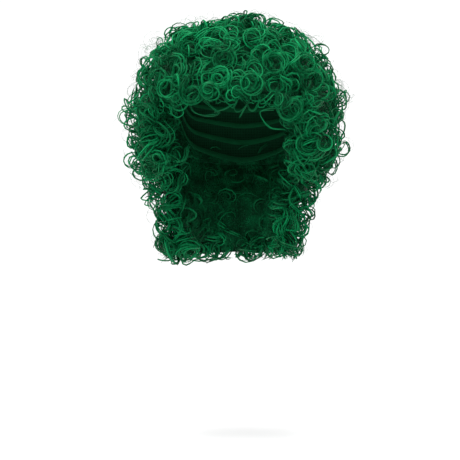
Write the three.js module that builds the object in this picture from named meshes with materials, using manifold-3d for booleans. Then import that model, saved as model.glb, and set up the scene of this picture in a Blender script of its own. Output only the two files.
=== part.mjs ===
// A curly wig as it sits on a head: a thin domed cap with ear tabs, and over it the hair in sections.
// Each section is a backing of packed hair with spiral curls standing out of it, fused into one solid.
//
// Millimetres, +Z up. The face side is -Y and the wearer's left is +X. The origin is the highest point
// of the cap's inside, where it rests on the crown of the head.
//
// Most shapes are given by a direction from HUB, a point inside the head: an azimuth, 0 at the face and
// 90 at the wearer's left, and a polar angle, 0 straight up. Angles are in degrees.

import * as THREE from "three";
import { mergeVertices } from "three/addons/utils/BufferGeometryUtils.js";
import Module from "manifold-3d";

const wasm = await Module();
wasm.setup();

// The head that the cap fits, an ellipsoid whose top is the origin.
const HEAD = { halfWidth: 75, halfDepth: 95, halfHeight: 110 };
const HUB_DEPTH = 80;

// The cap.
const CAP_WALL = 1.6;
const CAP_COLUMNS = 36;
const CAP_ROWS = 6;

// The cap's rim, a row for each point where it turns: hairline, temple, ear tab, ear cut-out, nape.
const RIM = [
  { azimuth: 0, polar: 63 },
  { azimuth: 52, polar: 72 },
  { azimuth: 72, polar: 112 },
  { azimuth: 80, polar: 112 },
  { azimuth: 100, polar: 95 },
  { azimuth: 128, polar: 122 },
  { azimuth: 180, polar: 129 },
];

// The hair's outer form over the dome, as reach from HUB.
const DOME = [
  { polar: 0, front: 114, side: 114, back: 114 },
  { polar: 30, front: 120, side: 122, back: 123 },
  { polar: 60, front: 129, side: 131, back: 136 },
  { polar: 90, front: 134, side: 141, back: 146 },
  { polar: 110, front: 134, side: 147, back: 148 },
  { polar: 130, front: 134, side: 153, back: 146 },
];

// The hair that hangs below the dome, as inner and outer half-widths and reaches to the back.
const NAPE = [
  { height: -136, innerSide: 76, innerBack: 94, outerSide: 126, outerBack: 140 },
  { height: -170, innerSide: 66, innerBack: 80, outerSide: 121, outerBack: 132 },
  { height: -200, innerSide: 55, innerBack: 68, outerSide: 105, outerBack: 121 },
  { height: -230, innerSide: 52, innerBack: 64, outerSide: 99, outerBack: 113 },
  { height: -258, innerSide: 53, innerBack: 64, outerSide: 94, outerBack: 107 },
  { height: -274, innerSide: 58, innerBack: 68, outerSide: 86, outerBack: 97 },
];
const NAPE_ROWS = 4;

// How far apart the pieces keep, and how finely the backings are stepped. The flat steps cut inside the true
// curve, both round and down, so the gap over the cap takes in that sag.
const DEGREES_PER_STEP = 14;
const STEP_SAG = 2 * HEAD.halfHeight * (1 - Math.cos(Math.PI * (DEGREES_PER_STEP / 360)));
const CAP_GAP = 0.3 + STEP_SAG;
const SECTION_GAP_ANGLE = 0.16;
const NEAR_REACH = 40;
const FAR_REACH = 320;

// A curl: a flat ribbon of hair that rises out of the backing and winds round an axis pointing out of it. The
// backing lies one standoff inside the hair's outer form, and the curls fill the space between.
const CURL = { turns: 1.25, steps: 8, radius: 15.5, thick: 8, width: 12, rootDepth: 7, rootShare: 0.3 };
const CURL_SIZES = [0.85, 1.1];
const CURL_SIZE_STEP = 0.618;
const CURL_START_STEP = 137.5;
const CURL_STANDOFF = 19;
const CURL_LIFT = 1;
const CURL_DROOP = 0.16;
const ROW_INDEX_STEP = 5;
const ROW_SHIFTS = [0.38, 0.62];
const MERGE_WITHIN = 1e-3;

// The tufts in front of the ears: a strip of backing whose curls point past the cheeks.
const TEMPLE = { thickAngle: 5, innerShare: 0.2, outerShare: 0.8, curlShare: 0.55, reachAngle: 17 };

const GREEN = new THREE.MeshStandardMaterial({ color: 0x0d6b3a, roughness: 0.55, metalness: 0 });
const DARK_GREEN = new THREE.MeshStandardMaterial({ color: 0x06301b, roughness: 0.9, metalness: 0 });

// The hair sections over the dome. rows place the curls, each by a polar angle and a count. curlsTo is how
// far down they may hang where that is past the backing.
const SIDE_ROWS = [
  { polar: 66, count: 3 },
  { polar: 85, count: 3 },
  { polar: 104, count: 3 },
  { polar: 122, count: 2 },
];
const DOME_SECTIONS = [
  {
    name: "crown_curls",
    azimuth: [0, 360],
    polar: [0, 55],
    rows: [{ polar: 3, count: 1 }, { polar: 24, count: 5 }, { polar: 45, count: 10 }],
  },
  {
    name: "fringe_curls",
    azimuth: [-58, 58],
    polar: [55, 88],
    curlsTo: 96,
    rows: [{ polar: 66, count: 5 }, { polar: 86, count: 6 }],
  },
  { name: "left_side_curls", azimuth: [58, 120], polar: [55, 130], rows: SIDE_ROWS },
  { name: "right_side_curls", azimuth: [240, 302], polar: [55, 130], rows: SIDE_ROWS },
  {
    name: "back_curls",
    azimuth: [120, 240],
    polar: [55, 130],
    rows: [
      { polar: 66, count: 5 },
      { polar: 85, count: 6 },
      { polar: 104, count: 6 },
      { polar: 122, count: 4 },
    ],
  },
];
const TEMPLE_SECTIONS = [
  { name: "left_temple_curls", azimuth: 58, turn: -1 },
  { name: "right_temple_curls", azimuth: 302, turn: 1 },
];
const TEMPLE_POLAR = [96, 130];
const TEMPLE_ROWS = [{ polar: 105 }, { polar: 121 }];

// The hanging sections. The two at the sides also have curls on their front edge, beside the neck, which may
// fill the space that curlAzimuth adds there.
const NAPE_SECTIONS = [
  { name: "left_nape_curls", azimuth: [82, 146], curlAzimuth: [60, 146], edge: { azimuth: 82, turn: -1 } },
  { name: "back_nape_curls", azimuth: [146, 214], curlAzimuth: [146, 214] },
  { name: "right_nape_curls", azimuth: [214, 278], curlAzimuth: [214, 300], edge: { azimuth: 278, turn: 1 } },
];
const NAPE_CURL_ROWS = [
  { height: -168, count: 2 },
  { height: -208, count: 2 },
  { height: -249, count: 2 },
];
const NAPE_EDGE_SHARE = 0.5;
const NAPE_FOOT_POLAR = 175;

const radians = THREE.MathUtils.degToRad;
const mix = THREE.MathUtils.lerp;
const DOWN = new THREE.Vector3(0, 0, -1);

// The value of a column at a place along a table, easing from row to row.
function fromTable(table, key, column, at) {
  const ordered = table[0][key] < table[1][key] ? table : [...table].reverse();
  const first = ordered[0];
  const last = ordered[ordered.length - 1];
  const place = THREE.MathUtils.clamp(at, first[key], last[key]);
  const next = ordered.findIndex((row, i) => i > 0 && place <= row[key]);
  const [low, high] = [ordered[next - 1], ordered[next]];
  const share = THREE.MathUtils.smoothstep(place, low[key], high[key]);
  return mix(low[column], high[column], mix((place - low[key]) / (high[key] - low[key]), share, 0.5));
}

// The unit vector for an azimuth and a polar angle.
function direction(azimuth, polar) {
  const [a, p] = [radians(azimuth), radians(polar)];
  return new THREE.Vector3(Math.sin(p) * Math.sin(a), -Math.sin(p) * Math.cos(a), Math.cos(p));
}

// The point at a reach from HUB.
function fromHub(azimuth, polar, reach) {
  return direction(azimuth, polar).multiplyScalar(reach).add(new THREE.Vector3(0, 0, -HUB_DEPTH));
}

// The reach from HUB to the head's surface.
function headReach(azimuth, polar) {
  const size = new THREE.Vector3(HEAD.halfWidth, HEAD.halfDepth, HEAD.halfHeight);
  const start = new THREE.Vector3(0, 0, HEAD.halfHeight - HUB_DEPTH).divide(size);
  const way = direction(azimuth, polar).divide(size);
  const [a, b, c] = [way.dot(way), start.dot(way), start.dot(start) - 1];
  return (-b + Math.sqrt(b * b - a * c)) / a;
}

// The reach of an oval with one size at the front or back and another at the sides.
function ovalReach(azimuth, along, across) {
  const a = radians(azimuth);
  return 1 / Math.hypot(Math.cos(a) / along, Math.sin(a) / across);
}

// Where hair starts over the cap.
function rootReach(azimuth, polar) {
  return headReach(azimuth, polar) + CAP_WALL + CAP_GAP;
}

// The dome's outer reach, and the reach of the backing that carries its curls.
function domeReach(azimuth, polar) {
  const facing = Math.cos(radians(azimuth)) > 0 ? "front" : "back";
  const along = fromTable(DOME, "polar", facing, polar);
  return ovalReach(azimuth, along, fromTable(DOME, "polar", "side", polar));
}

function backingReach(azimuth, polar) {
  return domeReach(azimuth, polar) - CURL_STANDOFF;
}

// The inner and outer radius of the hanging hair about the vertical axis.
function napeRadius(azimuth, height, layer) {
  const back = fromTable(NAPE, "height", layer + "Back", height);
  return ovalReach(azimuth, back, fromTable(NAPE, "height", layer + "Side", height));
}

// A point of the hanging hair's backing, whose share runs from 0 on its inner face to 1 on its outer one.
function napePoint(azimuth, height, share) {
  const outer = napeRadius(azimuth, height, "outer") - CURL_STANDOFF;
  const radius = mix(napeRadius(azimuth, height, "inner"), outer, share);
  return direction(azimuth, 90).multiplyScalar(radius).setZ(height);
}

// The cap rim's polar angle, the same on both sides.
function rimPolar(azimuth) {
  const turned = THREE.MathUtils.euclideanModulo(azimuth, 360);
  return fromTable(RIM, "azimuth", "polar", Math.min(turned, 360 - turned));
}

// A geometry as a solid, and a solid as a geometry.
function solidFrom(geometry) {
  const bare = geometry.clone();
  bare.deleteAttribute("normal");
  bare.deleteAttribute("uv");
  const merged = mergeVertices(bare, MERGE_WITHIN);
  const corners = merged.index.array;
  const triVerts = [];
  for (let i = 0; i < corners.length; i += 3) {
    const [a, b, c] = corners.slice(i, i + 3);
    if (a !== b && b !== c && c !== a) triVerts.push(a, b, c);
  }
  const mesh = new wasm.Mesh({
    numProp: 3,
    vertProperties: merged.attributes.position.array,
    triVerts: new Uint32Array(triVerts),
  });
  return new wasm.Manifold(mesh);
}

function geometryFrom(solid) {
  const { vertProperties, triVerts } = solid.getMesh();
  return new THREE.BufferGeometry()
    .setAttribute("position", new THREE.BufferAttribute(vertProperties, 3))
    .setIndex(new THREE.BufferAttribute(triVerts, 1));
}

// A closed wall between an inner and an outer surface. place(u, v, outer) gives its points, with u running
// round from 0 to 1, v running down, and outer 0 or 1. A ring closes on itself round u.
function wall(columns, rows, ring, place) {
  const points = [];
  const faces = [];
  const at = (i, j, outer) => (i * (rows + 1) + j) * 2 + outer;
  const quad = (a, b, c, d) => faces.push(a, b, c, a, c, d);
  for (let i = 0; i <= columns; i++)
    for (let j = 0; j <= rows; j++)
      for (const outer of [0, 1]) points.push(place(i / columns, j / rows, outer));
  for (let i = 0; i < columns; i++) {
    for (let j = 0; j < rows; j++) {
      quad(at(i, j, 1), at(i, j + 1, 1), at(i + 1, j + 1, 1), at(i + 1, j, 1));
      quad(at(i, j, 0), at(i + 1, j, 0), at(i + 1, j + 1, 0), at(i, j + 1, 0));
    }
    quad(at(i, 0, 0), at(i, 0, 1), at(i + 1, 0, 1), at(i + 1, 0, 0));
    quad(at(i, rows, 0), at(i + 1, rows, 0), at(i + 1, rows, 1), at(i, rows, 1));
  }
  for (let j = 0; j < rows && !ring; j++) {
    quad(at(0, j, 0), at(0, j + 1, 0), at(0, j + 1, 1), at(0, j, 1));
    quad(at(columns, j, 0), at(columns, j, 1), at(columns, j + 1, 1), at(columns, j + 1, 0));
  }
  return new THREE.BufferGeometry().setFromPoints(points).setIndex(faces);
}

// A section's window drawn in from its neighbours. A whole turn, and the top, have no neighbour there.
function inset({ azimuth: [from, to], polar: [top, bottom] }) {
  const side = to - from === 360 ? 0 : SECTION_GAP_ANGLE;
  return {
    azimuth: [from + side, to - side],
    polar: [top && top + SECTION_GAP_ANGLE, bottom - SECTION_GAP_ANGLE],
  };
}

// A wall over a window of azimuth and polar angle, between two reaches from HUB.
function domeWall({ azimuth, polar }, inner, outer) {
  const ring = azimuth[1] - azimuth[0] === 360;
  const steps = ([from, to]) => Math.max(2, Math.round((to - from) / DEGREES_PER_STEP));
  return wall(steps(azimuth), steps(polar), ring, (u, v, isOuter) => {
    const [a, p] = [mix(...azimuth, u), mix(...polar, v)];
    return fromHub(a, p, (isOuter ? outer : inner)(a, p));
  });
}

// The space that a section's curls may fill, a little inside its window so that they clear their neighbours.
function sectionSpace({ azimuth, polar }) {
  return solidFrom(domeWall(inset({ azimuth, polar }), () => NEAR_REACH, () => FAR_REACH));
}

// The line of a curl. It rises out of the backing on the curl's axis and then winds round that axis.
class CurlLine extends THREE.Curve {
  constructor(base, axis, radius, startAngle, hand) {
    super();
    this.base = base;
    this.axis = axis;
    this.radius = radius;
    this.across = new THREE.Vector3(0, 0, 1).cross(axis);
    if (this.across.length() < 0.1) this.across.set(1, 0, 0);
    this.across.normalize();
    this.up = axis.clone().cross(this.across).multiplyScalar(hand);
    this.startAngle = radians(startAngle);
  }

  outward(t) {
    const angle = this.startAngle + 2 * Math.PI * CURL.turns * t;
    const way = this.across.clone().multiplyScalar(Math.cos(angle));
    return way.addScaledVector(this.up, Math.sin(angle));
  }

  getPoint(t, target = new THREE.Vector3()) {
    const opened = THREE.MathUtils.smoothstep(t, 0, CURL.rootShare);
    const wound = mix(CURL_LIFT + CURL.width / 2, CURL_STANDOFF - CURL.width / 2, t);
    const rise = mix(-CURL.rootDepth, wound, opened);
    const radius = this.radius * opened;
    return target.copy(this.base).addScaledVector(this.axis, rise).addScaledVector(this.outward(t), radius);
  }

  // Keeps the ribbon's flat side facing the curl's axis all the way along.
  computeFrenetFrames(segments) {
    const frames = { tangents: [], normals: [], binormals: [] };
    for (let i = 0; i <= segments; i++) {
      const tangent = this.getTangentAt(i / segments);
      const binormal = tangent.clone().cross(this.outward(this.getUtoTmapping(i / segments))).normalize();
      frames.tangents.push(tangent);
      frames.binormals.push(binormal);
      frames.normals.push(binormal.clone().cross(tangent));
    }
    return frames;
  }
}

// A curl on the backing at base. Its index sets its size, which way it winds and where it starts.
function curl(base, way, index) {
  const [thick, width] = [CURL.thick / 2, CURL.width / 2];
  const axis = way.clone().addScaledVector(DOWN, CURL_DROOP).normalize();
  const radius = CURL.radius * mix(...CURL_SIZES, (index * CURL_SIZE_STEP) % 1);
  const section = new THREE.Shape([
    new THREE.Vector2(-thick, -width),
    new THREE.Vector2(thick, -width),
    new THREE.Vector2(thick, width),
    new THREE.Vector2(-thick, width),
  ]);
  const extrudePath = new CurlLine(base, axis, radius, index * CURL_START_STEP, index % 2 ? 1 : -1);
  const options = { steps: CURL.steps, bevelEnabled: false, extrudePath };
  return solidFrom(new THREE.ExtrudeGeometry(section, options));
}

// The azimuths of a row's curls, spread evenly over a window, with every other row shifted along.
function spread([from, to], count, row) {
  const step = (to - from) / count;
  return Array.from({ length: count }, (_, i) => from + step * (i + ROW_SHIFTS[row % 2]));
}

function domeCurls({ azimuth, rows }) {
  return rows.flatMap(({ polar, count }, row) =>
    spread(azimuth, count, row).map((a, i) =>
      curl(fromHub(a, polar, backingReach(a, polar)), direction(a, polar), i + ROW_INDEX_STEP * row),
    ),
  );
}

// The level direction out of a section's front edge. turn is -1 on the left and 1 on the right.
function forward(azimuth, turn) {
  return direction(azimuth + 90 * turn, 90);
}

function templeCurls({ azimuth, turn }) {
  const a = azimuth + turn * TEMPLE.thickAngle;
  return TEMPLE_ROWS.map(({ polar }, row) => {
    const base = fromHub(a, polar, mix(rootReach(a, polar), domeReach(a, polar), TEMPLE.curlShare));
    return curl(base, forward(a, turn), row);
  });
}

function napeCurls({ azimuth }) {
  return NAPE_CURL_ROWS.flatMap(({ height, count }, row) =>
    spread(azimuth, count, row).map((a, i) =>
      curl(napePoint(a, height, 1), direction(a, 90), i + ROW_INDEX_STEP * row),
    ),
  );
}

function napeEdgeCurls({ edge }) {
  if (!edge) return [];
  return NAPE_CURL_ROWS.map(({ height }, row) =>
    curl(napePoint(edge.azimuth, height, NAPE_EDGE_SHARE), forward(edge.azimuth, edge.turn), row),
  );
}

// A backing with its curls, each cut to the section's own space, as one body.
function fused(backing, curls, space) {
  const whole = curls.reduce((sum, one) => sum.add(one.intersect(space)), backing);
  return whole.decompose().reduce((most, body) => (body.volume() > most.volume() ? body : most));
}

function piece(name, solid, material) {
  const mesh = new THREE.Mesh(geometryFrom(solid), material);
  mesh.name = name;
  return mesh;
}

function cap() {
  const surface = wall(CAP_COLUMNS, CAP_ROWS, true, (u, v, outer) => {
    const a = 360 * u;
    const p = rimPolar(a) * v;
    return fromHub(a, p, headReach(a, p) + CAP_WALL * outer);
  });
  return piece("cap", solidFrom(surface), DARK_GREEN);
}

function domeSection(section) {
  const { name, azimuth, polar, curlsTo = polar[1] } = section;
  const backing = solidFrom(domeWall(inset(section), rootReach, backingReach));
  const space = sectionSpace({ azimuth, polar: [polar[0], curlsTo] });
  return piece(name, fused(backing, domeCurls(section), space), GREEN);
}

function templeSection(section) {
  const { azimuth, turn } = section;
  const front = (angle) => [azimuth, azimuth + turn * angle].sort((a, b) => a - b);
  const reach = (share) => (a, p) => mix(rootReach(a, p), domeReach(a, p), share);
  const window = inset({ azimuth: front(TEMPLE.thickAngle), polar: TEMPLE_POLAR });
  const backing = solidFrom(domeWall(window, reach(TEMPLE.innerShare), reach(TEMPLE.outerShare)));
  const space = sectionSpace({ azimuth: front(TEMPLE.reachAngle), polar: TEMPLE_POLAR });
  return piece(section.name, fused(backing, templeCurls(section), space), GREEN);
}

function napeSection(section) {
  const [from, to] = section.azimuth;
  const top = NAPE[0].height;
  const bottom = NAPE[NAPE.length - 1].height;
  const columns = Math.round((to - from) / DEGREES_PER_STEP);
  const backing = wall(columns, NAPE_ROWS, false, (u, v, outer) =>
    napePoint(mix(from, to, u), mix(top, bottom, v), outer),
  );
  const polar = [DOME[DOME.length - 1].polar, NAPE_FOOT_POLAR];
  const held = solidFrom(backing).intersect(sectionSpace({ azimuth: section.azimuth, polar }));
  const space = sectionSpace({ azimuth: section.curlAzimuth, polar });
  const curls = [...napeCurls(section), ...napeEdgeCurls(section)];
  return piece(section.name, fused(held, curls, space), GREEN);
}

const wig = new THREE.Group();
wig.add(
  cap(),
  ...DOME_SECTIONS.map(domeSection),
  ...TEMPLE_SECTIONS.map(templeSection),
  ...NAPE_SECTIONS.map(napeSection),
);
export default wig;
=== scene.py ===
"""Dresses a curly wig and sets it in soft studio light.

The hair is made of locks. A lock is a guide line wound into a ring, a ringlet or a loop on the wig's outer
form. A node tree splits every lock into strands and sweeps each strand into a thin closed tube. Packed hair
fills the space below the locks, and a knitted cap carries it.

Sizes are in millimetres in the classes and become metres in the meshes; the studio's are in metres. The
face side is -Y and the wearer's left is +X. Azimuth is 0 at the face and 90 at the wearer's left, polar is
0 straight up, both in degrees.
"""

from __future__ import annotations

import logging
import math
from collections.abc import Callable
from dataclasses import dataclass, field, replace
from enum import Enum, IntEnum
from functools import partial

import bmesh
import bpy
import numpy as np
from bpy.types import ID, Material, Mesh, Node, NodeSocket, NodeTree, Object
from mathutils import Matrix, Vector, noise

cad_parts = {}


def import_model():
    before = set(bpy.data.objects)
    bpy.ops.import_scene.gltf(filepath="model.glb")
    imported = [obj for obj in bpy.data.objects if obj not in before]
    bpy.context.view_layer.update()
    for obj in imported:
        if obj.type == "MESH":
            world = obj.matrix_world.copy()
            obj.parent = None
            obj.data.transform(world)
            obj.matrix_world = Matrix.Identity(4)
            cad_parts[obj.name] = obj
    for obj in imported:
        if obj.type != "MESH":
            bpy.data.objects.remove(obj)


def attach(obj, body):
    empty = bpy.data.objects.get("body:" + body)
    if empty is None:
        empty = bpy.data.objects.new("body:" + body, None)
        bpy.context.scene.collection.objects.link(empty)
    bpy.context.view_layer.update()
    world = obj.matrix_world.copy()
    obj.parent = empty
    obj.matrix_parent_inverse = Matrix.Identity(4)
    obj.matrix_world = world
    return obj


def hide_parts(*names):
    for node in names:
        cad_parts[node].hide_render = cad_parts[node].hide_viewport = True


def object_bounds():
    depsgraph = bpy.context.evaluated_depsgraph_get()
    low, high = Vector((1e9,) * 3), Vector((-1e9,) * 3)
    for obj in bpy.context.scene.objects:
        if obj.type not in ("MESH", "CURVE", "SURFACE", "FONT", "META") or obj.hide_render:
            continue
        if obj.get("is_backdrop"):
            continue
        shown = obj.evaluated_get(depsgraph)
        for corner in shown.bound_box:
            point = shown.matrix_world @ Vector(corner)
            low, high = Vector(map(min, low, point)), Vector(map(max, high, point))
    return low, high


Array = np.ndarray
Numbers = Array | float
Chance = np.random.Generator
Socket = NodeSocket
Range = tuple[float, float]
Row = tuple[float, ...]
Colour = tuple[float, float, float]
Place = tuple[float, float, float]
Face = tuple[int, ...]
Shell = tuple[list[list[float]], list[Face]]
Inputs = dict[str | int, object]

MM = 0.001
TINY = 1e-9
FULL_TURN = 2 * math.pi
GOLDEN_TURN = 137.508
UP = np.array([0.0, 0.0, 1.0])
LEFT = np.array([1.0, 0.0, 0.0])
BODY = "root"
STRAND_MAP = "OFBake"
SEED = 20
# How far guide lines may pass the solids' box, a curl's usual radius and the outer form's usual reach.
PROUD = 1.5
MEAN_RADIUS = 12.0
MEAN_REACH = 134.0
# How far tones wander, and over patches of what size.
TONE_DRIFT = 0.3
DRIFT_SIZE = 34.0
# The range in which most of a noise texture lies.
NOISE_RANGE: Range = (0.3, 0.7)

log = logging.getLogger("wig")


def unit(v: Array) -> Array:
    """Scales vectors to length one."""
    return v / np.maximum(np.linalg.norm(v, axis=-1, keepdims=True), TINY)


def direction(azimuth: Numbers, polar: Numbers) -> Array:
    """Turns an azimuth and a polar angle into unit vectors.

    Args:
        azimuth: In degrees.
        polar: In degrees.

    Returns:
        Unit vectors, with the three axes last.
    """
    a, p = np.radians(azimuth), np.radians(polar)
    return np.stack([np.sin(p) * np.sin(a), -np.sin(p) * np.cos(a), np.cos(p) * np.ones_like(a)], axis=-1)


def level_out(azimuth: Numbers) -> Array:
    """Points level, straight away from the vertical axis."""
    return direction(azimuth, 90.0)


def wrapped(azimuth: Numbers) -> Numbers:
    """Counts azimuths from -180 to 180 degrees."""
    return (azimuth + 180.0) % 360.0 - 180.0


def across(axis: Array, steep: float = 0.9) -> tuple[Array, Array]:
    """Finds two unit vectors that are square to an axis and to each other.

    Args:
        axis: A unit vector.
        steep: The share of up or down in it from which it is crossed with another helper.

    Returns:
        The two vectors.
    """
    helper = UP if abs(axis[2]) < steep else LEFT
    first = unit(np.cross(helper, axis))
    return first, np.cross(axis, first)


def between(rng: Chance, limits: Range) -> float:
    """Draws a number between two limits."""
    return float(rng.uniform(*limits))


@dataclass(frozen=True)
class WigForm:
    """The cap's inner form and the hair's outer form.

    The dome is given as reaches from a hub inside the cap, and the hair below it as radii about the
    vertical axis. Each table has a row of places and a row of sizes for each column. The outline's swells
    lie at two azimuths, and elsewhere the dome has random lumps, which sink a little. Locks stay within the
    limits.
    """

    limits: tuple[Array, Array]
    half_width: float = 75.0
    half_depth: float = 95.0
    half_height: float = 110.0
    hub_depth: float = 80.0
    dome_polar: Row = (0, 30, 60, 90, 110, 130)
    dome_front: Row = (114, 120, 129, 134, 134, 134)
    dome_side: Row = (114, 122, 131, 141, 147, 153)
    dome_back: Row = (114, 123, 136, 146, 148, 146)
    swell_azimuth: Range = (98.0, 278.0)
    swell_polar: Row = (0, 10, 22, 34, 47, 56, 64, 72, 83, 91, 98, 103, 110, 114, 120, 130)
    left_swell: Row = (0, 2, 1, -2, 1, 7, -4, -6, 2, -3, -9, -9, 3, 3, -1, -1)
    right_swell: Row = (0, -6, -5, 2, -2, -3, -5, -9, -12, -1, -2, -9, -7, 0, 1, 0)
    swell_width: float = 38.0
    swell_start: float = 14.0
    lumps: float = 4.0
    lump_size: float = 48.0
    lump_sink: float = 0.3
    slump: float = 7.0
    slump_side: Range = (-0.14, 0.1)
    slump_end: float = 45.0
    nape_height: Row = (-274, -258, -230, -200, -170, -136)
    nape_inner_side: Row = (58, 53, 52, 55, 66, 76)
    nape_inner_back: Row = (68, 64, 64, 68, 80, 94)
    nape_outer_side: Row = (86, 94, 99, 105, 121, 126)
    nape_outer_back: Row = (97, 107, 113, 121, 132, 140)
    nape_left_tuck: Row = (13, 10, 7, 5, 2, 0)

    @staticmethod
    def oval(azimuth: Numbers, along: Numbers, side: Numbers) -> Numbers:
        """Reaches an oval with one size fore and aft and another at the sides."""
        a = np.radians(azimuth)
        return 1.0 / np.hypot(np.cos(a) / along, np.sin(a) / side)

    def cap_reach(self, azimuth: Numbers, polar: Numbers) -> Numbers:
        """Measures from the hub to the cap's inner form.

        Args:
            azimuth: In degrees.
            polar: In degrees.

        Returns:
            Reaches in millimetres.
        """
        size = np.array([self.half_width, self.half_depth, self.half_height])
        start = np.array([0.0, 0.0, self.half_height - self.hub_depth]) / size
        way = direction(azimuth, polar) / size
        a, b = (way * way).sum(-1), way @ start
        return (-b + np.sqrt(b * b - a * (start @ start - 1.0))) / a

    def dome_reach(self, azimuth: Numbers, polar: Numbers) -> Numbers:
        """Measures from the hub to the hair's outer form over the dome.

        Args:
            azimuth: In degrees.
            polar: In degrees.

        Returns:
            Reaches in millimetres.
        """
        front = np.interp(polar, self.dome_polar, self.dome_front)
        back = np.interp(polar, self.dome_polar, self.dome_back)
        side = np.interp(polar, self.dome_polar, self.dome_side)
        smooth = self.oval(azimuth, np.where(np.cos(np.radians(azimuth)) > 0, front, back), side)
        return smooth + self.swell(np.asarray(azimuth), np.asarray(polar))

    def swell(self, azimuth: Array, polar: Array) -> Array:
        """Makes the dome uneven: as in the outline at both sides, and at random elsewhere.

        Args:
            azimuth: In degrees.
            polar: In degrees.

        Returns:
            What is added to the reach, in millimetres.
        """
        total, rest = np.zeros(np.broadcast(azimuth, polar).shape), 1.0
        for middle, row in zip(self.swell_azimuth, (self.left_swell, self.right_swell)):
            off = wrapped(azimuth - middle)
            near = np.exp(-((off / self.swell_width) ** 2)) * np.clip(polar / self.swell_start, 0.0, 1.0)
            total = total + near * np.interp(polar, self.swell_polar, row)
            rest = rest * (1.0 - near)
        ways = direction(azimuth, polar)
        places = ways.reshape(-1, 3) * MEAN_REACH / self.lump_size
        random = np.array([noise.noise(Vector(place)) for place in places]).reshape(total.shape)
        slumped = np.interp(ways[..., 0], self.slump_side, (1.0, 0.0))
        slumped = slumped * np.clip(1.0 - polar / self.slump_end, 0.0, 1.0)
        return total + rest * (2.0 * random - self.lump_sink) * self.lumps - self.slump * slumped

    def dome_point(self, azimuth: Numbers, polar: Numbers, reach: Numbers) -> Array:
        """Places points at a reach from the hub."""
        return direction(azimuth, polar) * np.asarray(reach)[..., None] - self.hub_depth * UP

    def nape_radius(self, azimuth: Numbers, height: Numbers, outer: bool) -> Numbers:
        """Measures from the vertical axis to a face of the hanging hair.

        Args:
            azimuth: In degrees.
            height: In millimetres.
            outer: Whether the outer or the inner face is meant.

        Returns:
            Radii in millimetres.
        """
        if outer:
            back, side = self.nape_outer_back, self.nape_outer_side
            tuck = np.interp(height, self.nape_height, self.nape_left_tuck)
        else:
            back, side, tuck = self.nape_inner_back, self.nape_inner_side, 0.0
        along, aside = (np.interp(height, self.nape_height, row) for row in (back, side))
        return self.oval(azimuth, along, aside) - tuck * np.maximum(np.sin(np.radians(azimuth)), 0.0) ** 2

    def nape_point(self, azimuth: Numbers, height: Numbers, radius: Numbers) -> Array:
        """Places points at a radius from the vertical axis."""
        return level_out(azimuth) * np.asarray(radius)[..., None] + np.asarray(height)[..., None] * UP


class LockKind(Enum):
    """The ways in which a lock of this wig lies."""

    RING = "a flat coil seen end-on"
    RINGLET = "a corkscrew that lies along the surface"
    WAVE = "an open S-shaped bundle"
    LOOP = "a loose loop that stands out of the outline"
    HANGING = "a corkscrew that hangs"
    EDGE = "a thin loop that hangs from an edge"
    WISP = "a single hair that has come loose"


@dataclass(frozen=True)
class LockStyle:
    """How a kind of lock is wound, in millimetres and degrees; pairs are limits.

    rise is the length along the coil's axis, depth how far the lock's outermost point lies below the outer
    form, tilt how far the axis leans, taper the tip's radius as a share of the root's, stem the length that
    runs to the coil, spread how far bundles stray from the lock's line, strands how many a bundle has,
    weave how far they stray in it, girth a strand's mean radius, and fray the share of its length by which
    a strand may end short.
    """

    radius: Range
    turns: Range
    rise: Range
    depth: Range
    tilt: Range
    bundles: tuple[int, int]
    strands: tuple[int, int]
    spread: Range
    girth: float
    tone: Range
    stem: Range = (0.0, 0.0)
    taper: Range = (0.7, 1.1)
    weave: float = 0.6
    fray: float = 0.22
    points_per_turn: float = 11.0


STYLES: dict[LockKind, LockStyle] = {
    LockKind.RING: LockStyle(
        radius=(8.5, 15.5), turns=(0.85, 1.45), rise=(4, 12), depth=(0, 8), tilt=(5, 58),
        bundles=(3, 4), strands=(3, 5), spread=(1.6, 3.8), girth=0.58, tone=(0.3, 0.64),
        stem=(12, 32), taper=(0.5, 1.3), points_per_turn=12.0,
    ),
    LockKind.RINGLET: LockStyle(
        radius=(7.0, 11.0), turns=(1.0, 1.35), rise=(12, 24), depth=(5, 10), tilt=(0, 35),
        bundles=(2, 2), strands=(2, 3), spread=(1.4, 2.8), girth=0.5, tone=(0.14, 0.46),
        points_per_turn=10,
    ),
    LockKind.WAVE: LockStyle(
        radius=(5.0, 8.0), turns=(0.8, 1.3), rise=(32, 50), depth=(0, 4), tilt=(0, 70),
        bundles=(3, 3), strands=(3, 4), spread=(1.6, 3.2), girth=0.64, tone=(0.28, 0.6),
    ),
    LockKind.LOOP: LockStyle(
        radius=(7.0, 11.5), turns=(0.75, 1.0), rise=(2, 9), depth=(-6, 0), tilt=(25, 55),
        bundles=(1, 2), strands=(3, 5), spread=(0.6, 2.0), girth=0.6, tone=(0.25, 0.6), weave=0.5,
        fray=0.12, points_per_turn=12,
    ),
    LockKind.HANGING: LockStyle(
        radius=(7.0, 11.5), turns=(1.2, 1.7), rise=(20, 34), depth=(-2, 4), tilt=(0, 28),
        bundles=(2, 3), strands=(3, 4), spread=(1.4, 3.0), girth=0.62, tone=(0.2, 0.55),
    ),
    LockKind.EDGE: LockStyle(
        radius=(4.0, 8.0), turns=(0.5, 0.8), rise=(2, 7), depth=(0, 20), tilt=(0, 50), bundles=(1, 1),
        strands=(2, 4), spread=(0.3, 0.8), girth=0.46, tone=(0.2, 0.5), stem=(4, 10), weave=0.45,
        fray=0.1, points_per_turn=12,
    ),
    LockKind.WISP: LockStyle(
        radius=(6.0, 14.0), turns=(0.35, 0.75), rise=(3, 12), depth=(-10, -2), tilt=(0, 50),
        bundles=(1, 3), strands=(1, 1), spread=(1.0, 4.0), girth=0.1, tone=(0.05, 0.3),
        taper=(0.7, 1.3),
    ),
}


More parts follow.
